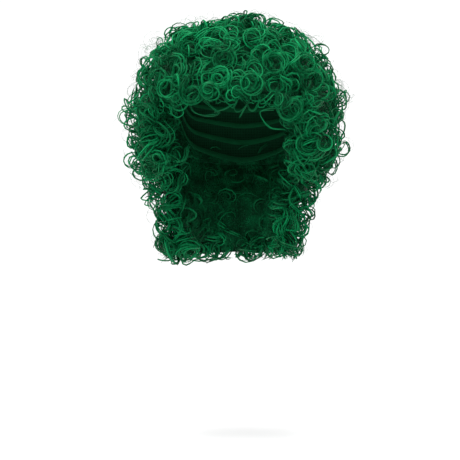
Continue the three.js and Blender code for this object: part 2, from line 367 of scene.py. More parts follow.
@dataclass(frozen=True)
class Feature:
    """A lock that the eye picks out, placed by itself.

    level is a polar angle on the dome and a height on the hanging hair, lift how far its outermost point
    stands above the outer form, facing the azimuth and polar angle of the coil's axis, lean how far the axis
    may stray from that, and stem the length that runs to the coil if it isn't the kind's own.
    """

    kind: LockKind
    azimuth: float
    level: float
    lift: float
    radius: float
    bundles: int
    facing: Range
    spread: float = 1.2
    lean: float = 6.0
    tone: Range = (0.22, 0.45)
    stem: Range | None = None
    girth: float = 0.5
    points_per_turn: float = 15.0

    @staticmethod
    def rings(
        *rows: Row, lift: float = -2.5, turn: Range = (0.6, 3.0), rise: Range = (0.5, 44.0)
    ) -> tuple[Feature, ...]:
        """Places rings on the dome that lean from the surface towards the front.

        Args:
            rows: For each ring its azimuth, negative towards the wearer's right, its polar angle, its mean
                radius and, if it isn't the usual one, its lift.
            lift: The usual lift.
            turn: The share of the azimuth that the axis keeps, and the degrees added to it.
            rise: The same for the polar angle.

        Returns:
            The features.
        """
        made = []
        for azimuth, polar, radius, *own in rows:
            facing = (turn[0] * azimuth + turn[1], rise[0] * polar + rise[1])
            place = (azimuth, polar, own[0] if own else lift, radius)
            made.append(Feature(LockKind.RING, *place, bundles=7, facing=facing, spread=3.0, lean=26.0))
        return tuple(made)

    def away(self, azimuth: Array, polar: Array) -> Array:
        """Measures how far places on the dome lie from this lock, in millimetres."""
        cosine = direction(azimuth, polar) @ direction(self.azimuth, self.level)
        return MEAN_REACH * np.arccos(np.clip(cosine, -1.0, 1.0))

    def style(self) -> LockStyle:
        """Narrows the kind's limits to this lock.

        Returns:
            The lock's own style.
        """
        usual = STYLES[self.kind]
        return replace(
            usual,
            radius=(self.radius,) * 2,
            bundles=(self.bundles,) * 2,
            depth=(-self.lift,) * 2,
            spread=(self.spread,) * 2,
            girth=self.girth,
            tone=self.tone,
            stem=self.stem or usual.stem,
            points_per_turn=self.points_per_turn,
        )


@dataclass(frozen=True)
class FringeStrand:
    """A few hairs that hang below the fringe, as azimuths and heights from end to end.

    inset is how far inside the outer form they lie, at the given polar angle, and ease how roundly the line
    passes the path's points.
    """

    path: tuple[Range, ...]
    inset: float = 5.0
    strands: int = 2
    spread: float = 0.5
    girth: float = 0.46
    tone: Range = (0.2, 0.38)
    fray: float = 0.04
    polar: float = 92.0
    ease: float = 0.4

    def line(self, form: WigForm, steps: int = 5) -> Array:
        """Rounds the path into a line just inside the outer form.

        Args:
            form: The wig's form.
            steps: Points to a span.

        Returns:
            The line's points.
        """
        knots = np.array([self.path[0], *self.path, self.path[-1]], dtype=float)
        t = np.linspace(0.0, 1.0, steps, endpoint=False)[:, None]
        spans = []
        for a, b, c, d in zip(knots, knots[1:], knots[2:], knots[3:]):
            leave, arrive, gap = (c - a) * self.ease, (d - b) * self.ease, b - c
            square, cube = -3 * gap - 2 * leave - arrive, 2 * gap + leave + arrive
            spans.append(b + leave * t + square * t**2 + cube * t**3)
        azimuth, height = np.concatenate([*spans, knots[-1:]]).T
        reach = form.dome_reach(azimuth, np.full_like(azimuth, self.polar))
        return form.nape_point(azimuth, height, reach - self.inset)


FRONT_CURLS: tuple[Feature, ...] = (
    *Feature.rings(
        (30.5, 24.0, 10.0), (-8.0, 40.0, 12.0), (-30.0, 50.0, 11.0), (63.5, 52.0, 12.5),
        (0.5, 61.5, 13.0), (34.0, 65.0, 13.0), (0.0, 74.5, 9.0), (10.0, 78.0, 10.0),
        (17.5, 77.0, 11.0, -1.0), (-5.5, 81.0, 9.0), (-17.5, 82.5, 13.0), (-24.5, 75.0, 12.0),
        (-25.5, 85.5, 9.0), (-44.0, 73.5, 10.0), (39.5, 91.5, 14.0, 0.0), (61.0, 75.5, 15.0),
    ),
    Feature(LockKind.LOOP, 88.0, 16.0, 6.0, 12.0, 4, (10.0, 80.0), 1.3),
    Feature(LockKind.LOOP, 78.0, 14.0, 1.0, 9.0, 4, (12.0, 80.0), 1.8),
    Feature(LockKind.LOOP, 97.0, 110.0, 5.0, 10.0, 3, (5.0, 85.0)),
    Feature(LockKind.LOOP, 98.0, 56.0, 5.0, 11.0, 2, (8.0, 88.0)),
    Feature(LockKind.LOOP, 278.0, 96.0, 5.0, 11.0, 2, (8.0, 88.0)),
    Feature(LockKind.LOOP, 278.0, 117.0, 5.0, 9.0, 2, (8.0, 88.0)),
    Feature(LockKind.LOOP, 275.0, 36.0, 5.0, 12.0, 2, (8.0, 88.0)),
)
LEFT_TEMPLE_CURLS: tuple[Feature, ...] = Feature.rings(
    (56.5, 102.0, 10.0), (55.5, 110.0, 16.0), (57.0, 124.0, 12.0)
)
RIGHT_TEMPLE_CURLS: tuple[Feature, ...] = (
    *Feature.rings((-51.5, 95.5, 13.0), (-48.0, 107.5, 17.0)),
    Feature(LockKind.RING, -47.0, 124.0, -30.0, 11.0, 6, (-10.0, 88.0), 2.6, 24.0, stem=(3.0, 6.0)),
)
NAPE_TUFT: tuple[Feature, ...] = tuple(
    Feature(LockKind.RING, azimuth, height, lift, radius=10.0, bundles=4, facing=facing, spread=2.4)
    for azimuth, height, lift, facing in (
        (262.0, -250.0, 9.0, (300.0, 95.0)),
        (274.0, -256.0, 8.0, (325.0, 105.0)),
        (256.0, -258.0, 7.0, (290.0, 110.0)),
        (268.0, -263.0, 6.0, (330.0, 110.0)),
        (283.0, -178.0, -30.0, (335.0, 92.0)),
    )
)

FRINGE_STRANDS: tuple[FringeStrand, ...] = (
    FringeStrand(((-16.0, -78.0), (-13.5, -87.0), (-8.0, -91.5), (-1.0, -90.0), (0.5, -84.0)), strands=3),
    FringeStrand(((-9.0, -74.0), (-4.0, -83.0), (0.5, -90.0)), inset=7.0, strands=3),
    FringeStrand(((-3.0, -87.0), (2.0, -84.0), (8.0, -78.0)), inset=4.0),
    FringeStrand(((2.0, -68.0), (4.5, -76.0), (7.5, -82.0), (10.0, -72.0)), inset=6.0),
    FringeStrand(((7.5, -77.0), (8.5, -86.0), (11.0, -86.5), (15.0, -80.0), (17.0, -72.0))),
    FringeStrand(((16.0, -72.0), (14.5, -79.0), (12.5, -87.0), (10.8, -95.0)), inset=3.0, strands=4),
    FringeStrand(((14.5, -76.0), (16.5, -84.0), (19.0, -85.0), (21.0, -79.0), (23.0, -70.0)), inset=6.0),
    FringeStrand(
        (
            (31.0, -84.0), (27.0, -84.5), (23.2, -86.5), (23.0, -91.0),
            (26.0, -102.0), (29.5, -107.5), (37.0, -108.0),
        ),
        inset=4.0,
        spread=0.9,
        girth=0.42,
    ),
    FringeStrand(
        ((-30.0, -80.0), (-28.0, -89.0), (-24.0, -93.0), (-20.0, -88.0), (-22.0, -78.0)), strands=3
    ),
)


@dataclass(frozen=True)
class Unruly:
    """How far locks stray from perfect coils and waves, in millimetres, radians and shares.

    A coil's start slips, its section is squashed, its radius wobbles and its line sways. A stem is at most
    so many radii long, with a point at each step; it bends aside, falls from the surface along its length
    and sinks at its root. A wave dips at its ends and rises at its crests.
    """

    fewest_points: int = 6
    crest_slip: float = 0.3
    root_slip: float = 0.5
    squash: Range = (0.78, 1.0)
    wobble: float = 0.1
    wobble_phase: Range = (0.0, 6.3)
    sway: float = 1.0
    second_sway: float = 0.7
    longest_stem: float = 2.2
    stem_step: float = 5.5
    stem_bend: Range = (-0.6, 0.5)
    stem_fall: float = 0.06
    stem_sink: float = 5.0
    wave_dip: float = 9.0
    wave_crest: float = 1.5


@dataclass
class LockLines:
    """The guide lines of a piece of hair, gathered lock by lock and kept within a box.

    rng is the source of the locks' own numbers, and lift what is added to the tone of every lock, which is
    painted light where it is above nought.
    """

    low: Array
    high: Array
    rng: Chance
    lift: float = 0.0
    unruly: Unruly = Unruly()
    points: list[Array] = field(default_factory=list)
    radials: list[Array] = field(default_factory=list)
    axials: list[Array] = field(default_factory=list)
    swings: list[Array] = field(default_factory=list)
    values: list[Row] = field(default_factory=list)

    def wind(
        self, style: LockStyle, spot: Array, axis: Array, normal: Array,
        crest: Array | None = None, root: Array | None = None,
    ) -> None:
        """Adds one lock, wound about an axis below a spot on the surface.

        Args:
            style: The lock's limits.
            spot: The place on the outer form.
            axis: The unit vector from the coil's root to its tip.
            normal: The unit vector out of the surface.
            crest: Where the middle of the lock points, which hides its ends; None leaves that to chance.
            root: Where the lock's stem comes from, if it has one; None leaves that to chance.
        """
        loose, rng = self.unruly, self.rng
        radius, turns, rise = (between(rng, limits) for limits in (style.radius, style.turns, style.rise))
        count = round(turns * style.points_per_turn * math.sqrt(radius / MEAN_RADIUS))
        t = np.linspace(0.0, 1.0, max(loose.fewest_points, count))
        hand = rng.choice((-1.0, 1.0))
        first, second = across(axis)
        start = rng.uniform(0, FULL_TURN)
        if crest is not None:
            middle = math.atan2(crest @ second, crest @ first)
            start = middle - hand * math.pi * turns + rng.normal(0.0, loose.crest_slip)
        elif root is not None:
            away = math.atan2(hand * (root @ first), -hand * (root @ second))
            start = away + rng.normal(0.0, loose.root_slip)
        second = second * between(rng, loose.squash)
        angle = start + hand * FULL_TURN * turns * t
        radial = np.cos(angle)[:, None] * first + np.sin(angle)[:, None] * second
        reach = radius * np.interp(t, (0.0, 1.0), (1.0, between(rng, style.taper)))
        wobble = np.sin(0.5 * angle + between(rng, loose.wobble_phase))
        reach = reach * (1.0 + loose.wobble * wobble)
        line = axis * ((t - 0.5) * rise)[:, None] + radial * reach[:, None]
        once, twice = rng.normal(0.0, loose.sway, (2, 3))
        sway = np.sin(math.pi * t)[:, None] * once
        line += sway + np.sin(FULL_TURN * t)[:, None] * twice * loose.second_sway
        top = float((line @ normal).max())
        length = min(between(rng, style.stem), loose.longest_stem * radius)
        if length > 0.0:
            ahead = unit(hand * (math.cos(angle[0]) * second - math.sin(angle[0]) * first))
            bend = radial[0] * between(rng, loose.stem_bend) / (2.0 * radius)
            stem = self.stem(line[0], length, ahead, bend, normal)
            line = np.concatenate([stem, line])
            radial = np.concatenate([np.repeat(radial[:1], len(stem), 0), radial])
            angle = np.concatenate([np.repeat(angle[:1], len(stem)), angle])
        line -= np.maximum(line @ normal - top, 0.0)[:, None] * normal
        line = self.tucked(line, normal)
        line += spot - normal * (top + between(rng, style.depth))
        self.keep(style, line, radial, axis, angle)

    def stem(self, start: Array, length: float, ahead: Array, bend: Array, normal: Array) -> Array:
        """Runs a stem to a coil.

        Args:
            start: The coil's first point.
            length: The stem's length.
            ahead: The unit vector along the coil at its first point.
            bend: How the stem curves aside from that, for its length squared.
            normal: The unit vector out of the surface.

        Returns:
            The stem's points, from its root to just before the coil.
        """
        loose = self.unruly
        s = np.linspace(length, 0.0, max(2, round(length / loose.stem_step)), endpoint=False)[:, None]
        ahead = ahead - normal * min(0.0, float(ahead @ normal))
        sink = normal * (loose.stem_fall * s + loose.stem_sink * (s / length) ** 2)
        return start - ahead * s + bend * s * s - sink

    @staticmethod
    def tucked(line: Array, normal: Array, share: float = 0.3) -> Array:
        """Keeps both ends of a line from climbing out of the surface.

        Args:
            line: The line's points.
            normal: The unit vector out of the surface.
            share: How much of the line counts as an end.

        Returns:
            The line with its ends level or falling.
        """
        height = line @ normal
        count = max(2, round(share * len(line)))
        level = height.copy()
        level[-count:] = np.minimum.accumulate(level[-count:])
        level[:count] = np.minimum.accumulate(level[:count][::-1])[::-1]
        return line - (height - level)[:, None] * normal

    def wave(self, style: LockStyle, spot: Array, axis: Array, normal: Array) -> None:
        """Adds one S-shaped lock that lies on the surface and dips in at both ends.

        Args:
            style: The lock's limits; its radius is the wave's height.
            spot: The place on the outer form.
            axis: The unit vector along the lock.
            normal: The unit vector out of the surface.
        """
        loose, rng = self.unruly, self.rng
        axis = unit(axis - normal * (axis @ normal))
        height, turns, length = (between(rng, limits) for limits in (style.radius, style.turns, style.rise))
        t = np.linspace(0.0, 1.0, round(turns * style.points_per_turn))
        angle = rng.uniform(0, FULL_TURN) + FULL_TURN * turns * t
        side = np.cross(normal, axis)
        dip = loose.wave_dip * (2.0 * t - 1.0) ** 2 - loose.wave_crest * np.cos(angle)
        line = axis * ((t - 0.5) * length)[:, None] + side * (height * np.sin(angle))[:, None]
        line += spot - normal * (dip + between(rng, style.depth) + loose.wave_crest)[:, None]
        self.keep(style, line, np.broadcast_to(side, line.shape), normal, angle)

    def lay(self, strand: FringeStrand, form: WigForm) -> None:
        """Adds the hairs of a fringe strand along its own line.

        Args:
            strand: The fringe strand.
            form: The wig's form.
        """
        line = strand.line(form)
        outward = unit(line * (1.0 - UP))
        side = unit(np.cross(outward, np.gradient(line, axis=0)))
        style = replace(
            STYLES[LockKind.EDGE],
            bundles=(strand.strands,) * 2,
            strands=(1, 1),
            spread=(strand.spread,) * 2,
            girth=strand.girth,
            tone=strand.tone,
            fray=strand.fray,
        )
        self.keep(style, line, side, outward.mean(0), np.linspace(0.0, math.pi, len(line)))

    def keep(self, style: LockStyle, line: Array, radial: Array, axis: Array, angle: Array) -> None:
        """Stores a lock's line, moved into the limits where it would leave them.

        Args:
            style: The lock's limits.
            line: Its points.
            radial: At each point, the way in which strands stray first.
            axis: The way in which they stray next.
            angle: At each point, the angle wound so far.
        """
        line = line + np.maximum(self.low - line.min(0), 0.0) - np.maximum(line.max(0) - self.high, 0.0)
        self.points.append(line)
        self.radials.append(unit(radial))
        self.axials.append(np.broadcast_to(axis, line.shape))
        self.swings.append(angle)
        bundles = int(self.rng.integers(style.bundles[0], style.bundles[1] + 1))
        strands = int(self.rng.integers(style.strands[0], style.strands[1] + 1))
        drift = TONE_DRIFT * noise.noise(Vector(line.mean(0)) / DRIFT_SIZE)
        # The lift added here is painted light where a section has one, as the crown does.
        tone = between(self.rng, style.tone) + drift + self.lift
        spread = between(self.rng, style.spread)
        self.values.append((bundles, strands, spread, style.weave, style.girth, tone, style.fray))

    def mesh(self, name: str) -> Mesh:
        """Makes one mesh of edges that holds all the lines and what the node tree reads from them.

        Args:
            name: The mesh's name.

        Returns:
            The mesh, in metres.
        """
        counts = [len(line) for line in self.points]
        starts = np.cumsum([0, *counts[:-1]])
        edges = np.concatenate(
            [np.stack([np.arange(s, s + n - 1), np.arange(s + 1, s + n)], 1) for s, n in zip(starts, counts)]
        )
        mesh = bpy.data.meshes.new(name)
        mesh.from_pydata((np.concatenate(self.points) * MM).tolist(), edges.tolist(), [])
        for label, rows in (("radial", self.radials), ("axial", self.axials)):
            layer = mesh.attributes.new(label, "FLOAT_VECTOR", "POINT")
            layer.data.foreach_set("vector", np.concatenate(rows).astype(np.float32).ravel())
        columns = (np.repeat(column, counts) for column in zip(*self.values))
        bundles, strands, spread, weave, girth, tone, fray = columns
        floats = {
            "swing": np.concatenate(self.swings),
            "spread": spread * MM,
            "weave": weave * MM,
            "girth": girth * MM,
            "tone": tone,
            "fray": fray,
        }
        for label, row in floats.items():
            mesh.attributes.new(label, "FLOAT", "POINT").data.foreach_set("value", row.astype(np.float32))
        for label, row in (("bundles", bundles), ("strands", strands)):
            mesh.attributes.new(label, "INT", "POINT").data.foreach_set("value", row.astype(np.int32))
        return mesh


def linked(name: str, data: ID) -> Object:
    """Makes an object and links it to the scene.

    Args:
        name: The object's name.
        data: Its mesh, light or camera.

    Returns:
        The object.
    """
    made = bpy.data.objects.new(name, data)
    bpy.context.scene.collection.objects.link(made)
    return made


def add_sockets(tree: NodeTree, inputs: dict[str, str], outputs: dict[str, str]) -> None:
    """Gives a node group its sockets.

    Args:
        tree: The group.
        inputs: The kind of each input, by its name.
        outputs: The kind of each output, by its name.
    """
    for way, sockets in (("INPUT", inputs), ("OUTPUT", outputs)):
        for name, kind in sockets.items():
            tree.interface.new_socket(name, in_out=way, socket_type="NodeSocket" + kind)


def add_node(tree: NodeTree, kind: str, inputs: Inputs | None = None, **settings: object) -> Node:
    """Adds a node to a tree.

    Args:
        tree: The tree.
        kind: The node's type.
        inputs: What goes into its inputs, by name or number: a socket to link, or a plain value.
        settings: The node's own settings.

    Returns:
        The node.
    """
    made = tree.nodes.new(kind)
    for name, value in settings.items():
        setattr(made, name, value)
    for key, value in (inputs or {}).items():
        if isinstance(value, Socket):
            tree.links.new(value, made.inputs[key])
        else:
            made.inputs[key].default_value = value
    return made


def ranged(
    tree: NodeTree, value: Socket, before: Range, after: tuple[object, object], smooth: bool = False
) -> Socket:
    """Maps a number from one range to another, and no further.

    Args:
        tree: The tree that gets the node.
        value: The number.
        before: The range that it comes from.
        after: The range that it goes to, in numbers or sockets.
        smooth: Whether it eases in and out.

    Returns:
        The mapped number.
    """
    inputs = dict(enumerate((value, *before, *after)))
    kind = "SMOOTHSTEP" if smooth else "LINEAR"
    return add_node(tree, "ShaderNodeMapRange", inputs, interpolation_type=kind).outputs[0]


class Draw(IntEnum):
    """What is added to the seed for each random draw of a strand, so that draws differ.

    A bundle's tone shares its draw with how far out it lies, so outer bundles are brighter and inner ones
    darker: painted light and painted shade on top of a random tone.
    """

    OUTWARD = 1
    BUNDLE_TONE_AND_SHADE = 1
    FAN = 2
    ENDWARD = 3
    TWIST = 4
    PHASE = 5
    FRIZZ = 6
    ROOT_CUT = 7
    TIP_CUT = 8
    STRAND_TONE = 9
    STRAY = 10
    GIRTH = 11
    WEAVE = 12


@dataclass
class StrandTree:
    """The node tree that splits locks into bundles of strands and sweeps each strand into a closed tube.

    stray and sway are how far a bundle lies off its lock's line and along its axis, for the lock's spread.
    frizz is the height of small bends in metres. loose is how far strands part in the middle of a bundle,
    and how much further per length off it. tip is where a strand starts to thin and the girth that is left
    at its end, and girths are the limits between which strands differ. margin and tones keep the strands'
    map off its edges, on which side_step parts the sides of a strand.
    """

    name: str = "strands_from_locks"
    sides: int = 3
    stray: float = 1.2
    sway: float = 1.5
    frizz: float = 0.0018
    frizz_scale: float = 45.0
    frizz_room: float = 50.0
    tone_spread: float = 0.12
    loose: Range = (0.7, 1.6)
    tip: Range = (0.8, 0.35)
    girths: Range = (0.55, 1.45)
    margin: float = 0.02
    tones: Range = (0.01, 0.99)
    side_step: float = 0.004

    def __post_init__(self) -> None:
        """Builds the tree with its named inputs."""
        self.tree = bpy.data.node_groups.new(self.name, "GeometryNodeTree")
        inputs = {
            "Locks": "Geometry", "Sides": "Int", "Stray": "Float", "Frizz": "Float",
            "Frizz Scale": "Float", "Tone Spread": "Float", "Seed": "Int", "Finish": "Material",
        }
        add_sockets(self.tree, inputs, {"Strands": "Geometry"})
        self.source = self.node("NodeGroupInput")
        self.build()

    def node(self, kind: str, inputs: Inputs | None = None, **settings: object) -> Node:
        """Adds a node to the tree."""
        return add_node(self.tree, kind, inputs, **settings)

    def given(self, name: str) -> Socket:
        """Reads one of the tree's named inputs."""
        return self.source.outputs[name]

    def math(self, operation: str, *values: object) -> Socket:
        """Works out a number from sockets or numbers."""
        return self.node("ShaderNodeMath", dict(enumerate(values)), operation=operation).outputs[0]

    def scaled(self, vector: Socket, scale: Socket) -> Socket:
        """Scales a vector by a number."""
        return self.node("ShaderNodeVectorMath", {0: vector, "Scale": scale}, operation="SCALE").outputs[0]

    def summed(self, first: Socket, second: Socket) -> Socket:
        """Adds two vectors."""
        return self.node("ShaderNodeVectorMath", {0: first, 1: second}, operation="ADD").outputs[0]

    def named(self, name: str, kind: str = "FLOAT") -> Socket:
        """Reads a named attribute."""
        made = self.node("GeometryNodeInputNamedAttribute", {"Name": name}, data_type=kind)
        return made.outputs["Attribute"]

    def along(self) -> Socket:
        """Reads how far along its curve each point lies, from 0 to 1."""
        return self.node("GeometryNodeSplineParameter").outputs["Factor"]

    def index(self) -> Socket:
        """Reads the number of each curve or point."""
        return self.node("GeometryNodeInputIndex").outputs[0]

    def stored(
        self, geometry: Socket, name: str, value: Socket, kind: str = "FLOAT", domain: str = "POINT"
    ) -> Socket:
        """Stores a named attribute.

        Args:
            geometry: The curves or mesh.
            name: The attribute's name.
            value: What is stored.
            kind: Its data type.
            domain: What it belongs to.

        Returns:
            The geometry with the attribute.
        """
        inputs = {"Geometry": geometry, "Name": name, "Value": value}
        return self.node("GeometryNodeStoreNamedAttribute", inputs, data_type=kind, domain=domain).outputs[0]

    def drawn(self, draw: Draw, low: float = -1.0, high: float = 1.0, vector: bool = False) -> Socket:
        """Draws one random number or vector for each strand.

        Args:
            draw: What is drawn.
            low: The lowest number.
            high: The highest number.
            vector: Whether it is a vector.

        Returns:
            What was drawn, the same all along a strand.
        """
        kind = "FLOAT_VECTOR" if vector else "FLOAT"
        limits = {0: (low,) * 3, 1: (high,) * 3} if vector else {2: low, 3: high}
        seed = self.math("ADD", self.given("Seed"), float(draw))
        inputs = {**limits, "ID": self.index(), "Seed": seed}
        chance = self.node("FunctionNodeRandomValue", inputs, data_type=kind).outputs[0 if vector else 1]
        return self.node("GeometryNodeFieldOnDomain", {0: chance}, domain="CURVE", data_type=kind).outputs[0]

    def offsets(self) -> Socket:
        """Works out how far each bundle strays from its lock's line.

        Returns:
            The offset of each point.
        """
        centred = self.math("SUBTRACT", self.along(), 0.5)
        outward = self.math("MULTIPLY_ADD", self.drawn(Draw.FAN), centred, self.drawn(Draw.OUTWARD))
        phase = self.math("MULTIPLY_ADD", self.drawn(Draw.PHASE), math.pi, self.named("swing"))
        sway = self.math("MULTIPLY", self.drawn(Draw.ENDWARD), self.sway)
        endward = self.math("MULTIPLY_ADD", self.drawn(Draw.TWIST), self.math("SINE", phase), sway)
        spread = self.named("spread")
        shift = self.summed(
            self.scaled(self.named("radial", "FLOAT_VECTOR"), self.math("MULTIPLY", outward, spread)),
            self.scaled(self.named("axial", "FLOAT_VECTOR"), self.math("MULTIPLY", endward, spread)),
        )
        apart = self.math("MULTIPLY", spread, self.given("Stray"))
        shift = self.summed(shift, self.scaled(self.drawn(Draw.STRAY, vector=True), apart))
        bends = {
            "Vector": self.node("GeometryNodeInputPosition").outputs[0],
            "W": self.drawn(Draw.FRIZZ, 0.0, self.frizz_room),
            "Scale": self.given("Frizz Scale"),
            "Detail": 0.0,
        }
        pattern = self.node("ShaderNodeTexNoise", bends, noise_dimensions="4D", normalize=False)
        return self.summed(shift, self.scaled(pattern.outputs["Color"], self.given("Frizz")))

    def parted(self) -> Socket:
        """Works out how far each strand strays within its bundle, more towards its ends.

        Returns:
            The offset of each point.
        """
        middle, further = self.loose
        off_middle = self.math("ABSOLUTE", self.math("SUBTRACT", self.along(), 0.5))
        apart = self.math("MULTIPLY_ADD", off_middle, further, middle)
        reach = self.math("MULTIPLY", self.named("weave"), apart)
        return self.scaled(self.drawn(Draw.WEAVE, vector=True), reach)

    def split(self, curves: Socket, amount: str, offset: Socket) -> Socket:
        """Splits every curve into several and moves each one by its own offset.

        Args:
            curves: The curves.
            amount: The attribute that says into how many.
            offset: The offset of each point.

        Returns:
            The split curves.
        """
        inputs = {"Geometry": curves, "Amount": self.named(amount, "INT")}
        copies = self.node("GeometryNodeDuplicateElements", inputs, domain="SPLINE").outputs["Geometry"]
        return self.node("GeometryNodeSetPosition", {"Geometry": copies, "Offset": offset}).outputs[0]

    def toned(self, curves: Socket, draw: Draw) -> Socket:
        """Makes the curves' tones differ."""
        tone = self.math("MULTIPLY_ADD", self.drawn(draw), self.given("Tone Spread"), self.named("tone"))
        return self.stored(curves, "tone", tone)

    def build(self) -> None:
        """Joins the nodes from the locks to the finished strands."""
        curves = self.node("GeometryNodeMeshToCurve", {"Mesh": self.given("Locks")}).outputs[0]
        # Bundles further out get brighter tones: painted light outside a lock and painted shade inside it.
        bundles = self.toned(self.split(curves, "bundles", self.offsets()), Draw.BUNDLE_TONE_AND_SHADE)
        strands = self.toned(self.split(bundles, "strands", self.parted()), Draw.STRAND_TONE)
        fray = self.named("fray")
        first = self.math("MULTIPLY", self.drawn(Draw.ROOT_CUT, 0.0, 1.0), fray)
        short = self.math("MULTIPLY", self.drawn(Draw.TIP_CUT, 0.0, 1.0), fray)
        cuts = {"Curve": strands, 2: first, 3: self.math("SUBTRACT", 1.0, short)}
        ends = self.node("GeometryNodeTrimCurve", cuts, mode="FACTOR").outputs[0]

        along = self.along()
        start, left = self.tip
        thin = ranged(self.tree, along, (start, 1.0), (1.0, left), smooth=True)
        girth = self.math("MULTIPLY", self.named("girth"), self.drawn(Draw.GIRTH, *self.girths))
        circle = {"Resolution": self.given("Sides"), "Radius": 1.0}
        profile = self.node("GeometryNodeCurvePrimitiveCircle", circle, mode="RADIUS")
        tube = {
            "Curve": self.stored(ends, "along", along),
            "Profile Curve": profile.outputs["Curve"],
            "Scale": self.math("MULTIPLY", girth, thin),
            "Fill Caps": True,
        }
        self.finish(self.node("GeometryNodeCurveToMesh", tube).outputs[0])

    def finish(self, strands: Socket) -> None:
        """Gives the swept strands their map, smooth shading and material.

        Args:
            strands: The swept geometry.
        """
        along = self.math("MULTIPLY_ADD", self.named("along"), 1.0 - 2.0 * self.margin, self.margin)
        side = self.math("MODULO", self.index(), float(self.sides))
        tone = self.math("MULTIPLY_ADD", side, self.side_step, self.named("tone"))
        low, high = self.tones
        level = self.node("ShaderNodeClamp", {"Value": tone, "Min": low, "Max": high})
        place = self.node("ShaderNodeCombineXYZ", {"X": along, "Y": level.outputs[0]})
        mapped = self.stored(strands, STRAND_MAP, place.outputs[0], "FLOAT2", "CORNER")
        smooth = self.node("GeometryNodeSetShadeSmooth", {"Geometry": mapped})
        whole = self.node("GeometryNodeRealizeInstances", {"Geometry": smooth.outputs[0]})
        look = {"Geometry": whole.outputs[0], "Material": self.given("Finish")}
        dressed = self.node("GeometryNodeSetMaterial", look)
        self.node("NodeGroupOutput", {"Strands": dressed.outputs[0]})

    def grow(self, name: str, locks: LockLines, finish: Material, seed: int) -> Object:
        """Grows the strands of a piece.

        Args:
            name: The piece's name.
            locks: Its guide lines.
            finish: The strands' material.
            seed: The seed of the strands' random numbers.

        Returns:
            The piece, as a plain mesh.
        """
        guide = linked(name + "_guides", locks.mesh(name + "_guides"))
        grown = guide.modifiers.new("strands", "NODES")
        grown.node_group = self.tree
        inputs = {s.name: s.identifier for s in self.tree.interface.items_tree if s.in_out == "INPUT"}
        values = {
            "Sides": self.sides,
            "Stray": self.stray,
            "Frizz": self.frizz,
            "Frizz Scale": self.frizz_scale,
            "Tone Spread": self.tone_spread,
            "Seed": seed,
            "Finish": finish,
        }
        for label, value in values.items():
            grown[inputs[label]] = value
        graph = bpy.context.evaluated_depsgraph_get()
        mesh = bpy.data.meshes.new_from_object(guide.evaluated_get(graph), depsgraph=graph)
        mesh.name = name
        for label in "radial axial swing spread weave girth fray bundles strands along tone".split():
            if label in mesh.attributes:
                mesh.attributes.remove(mesh.attributes[label])
        lines = guide.data
        bpy.data.objects.remove(guide)
        bpy.data.meshes.remove(lines)
        return linked(name, mesh)


def mixed(tree: NodeTree, share: Socket, low: object, high: object) -> Socket:
    """Mixes two colours.

    Args:
        tree: The tree that gets the node.
        share: How much of the second colour shows.
        low: The first colour, as a socket or a value.
        high: The second colour, likewise.

    Returns:
        The mixed colour.
    """
    inputs = {"Factor": share, "A": low, "B": high}
    return add_node(tree, "ShaderNodeMix", inputs, data_type="RGBA").outputs["Result"]


def new_material(name: str, inputs: dict[str, object]) -> tuple[Material, Node]:
    """Makes a material and sets some of its shader's inputs.

    Args:
        name: The material's name.
        inputs: The values, by the inputs' names.

    Returns:
        The material and its shader.
    """
    made = bpy.data.materials.new(name)
    made.use_nodes = True
    shader = made.node_tree.nodes["Principled BSDF"]
    for label, value in inputs.items():
        shader.inputs[label].default_value = value
    return made, shader


def add_bump(shader: Node, tree: NodeTree, height: Socket, bump: Range) -> None:
    """Lets a shader show a height as bumps, with a strength and a distance in metres."""
    made = add_node(tree, "ShaderNodeBump", {"Height": height, "Strength": bump[0], "Distance": bump[1]})
    tree.links.new(made.outputs[0], shader.inputs["Normal"])


@dataclass(frozen=True)
class FibreGroup:
    """The shader node group that gives hair its tone, its painted shade at the root, and streaks.

    Streaks change the tone by up to wander, and the painted shade at the root, which stands in for shadow
    deep in the hair, ends root_end along a strand.
    """

    name: str = "fibre_colour"
    detail: float = 3.0
    wander: float = 0.16
    root_end: float = 0.45

    def tree(self) -> NodeTree:
        """Builds the group once.

        Returns:
            The group.
        """
        if self.name in bpy.data.node_groups:
            return bpy.data.node_groups[self.name]
        tree = bpy.data.node_groups.new(self.name, "ShaderNodeTree")
        inputs = {
            "Place": "Vector", "Along": "Float", "Tone": "Float", "Dark": "Color",
            "Mid": "Color", "Bright": "Color", "Root Shade": "Float", "Streak Scale": "Float",
        }
        add_sockets(tree, inputs, {"Color": "Color", "Streak": "Float"})
        given = add_node(tree, "NodeGroupInput").outputs

        pattern = {"Vector": given["Place"], "Scale": given["Streak Scale"], "Detail": self.detail}
        streak = add_node(tree, "ShaderNodeTexNoise", pattern).outputs["Fac"]
        change = ranged(tree, streak, NOISE_RANGE, (-self.wander, self.wander))
        tone = add_node(tree, "ShaderNodeMath", {0: given["Tone"], 1: change}, use_clamp=True).outputs[0]
        lower = ranged(tree, tone, (0.0, 0.5), (0.0, 1.0))
        upper = ranged(tree, tone, (0.5, 1.0), (0.0, 1.0))
        first = mixed(tree, lower, given["Dark"], given["Mid"])
        second = mixed(tree, upper, first, given["Bright"])
        # Painted shade: the colour darkens towards a strand's root, where the hair lies deep.
        root = ranged(tree, given["Along"], (0.0, self.root_end), (given["Root Shade"], 1.0), smooth=True)
        shaded = add_node(tree, "ShaderNodeVectorMath", {0: second, "Scale": root}, operation="SCALE")
        add_node(tree, "NodeGroupOutput", {"Color": shaded.outputs[0], "Streak": streak})
        return tree


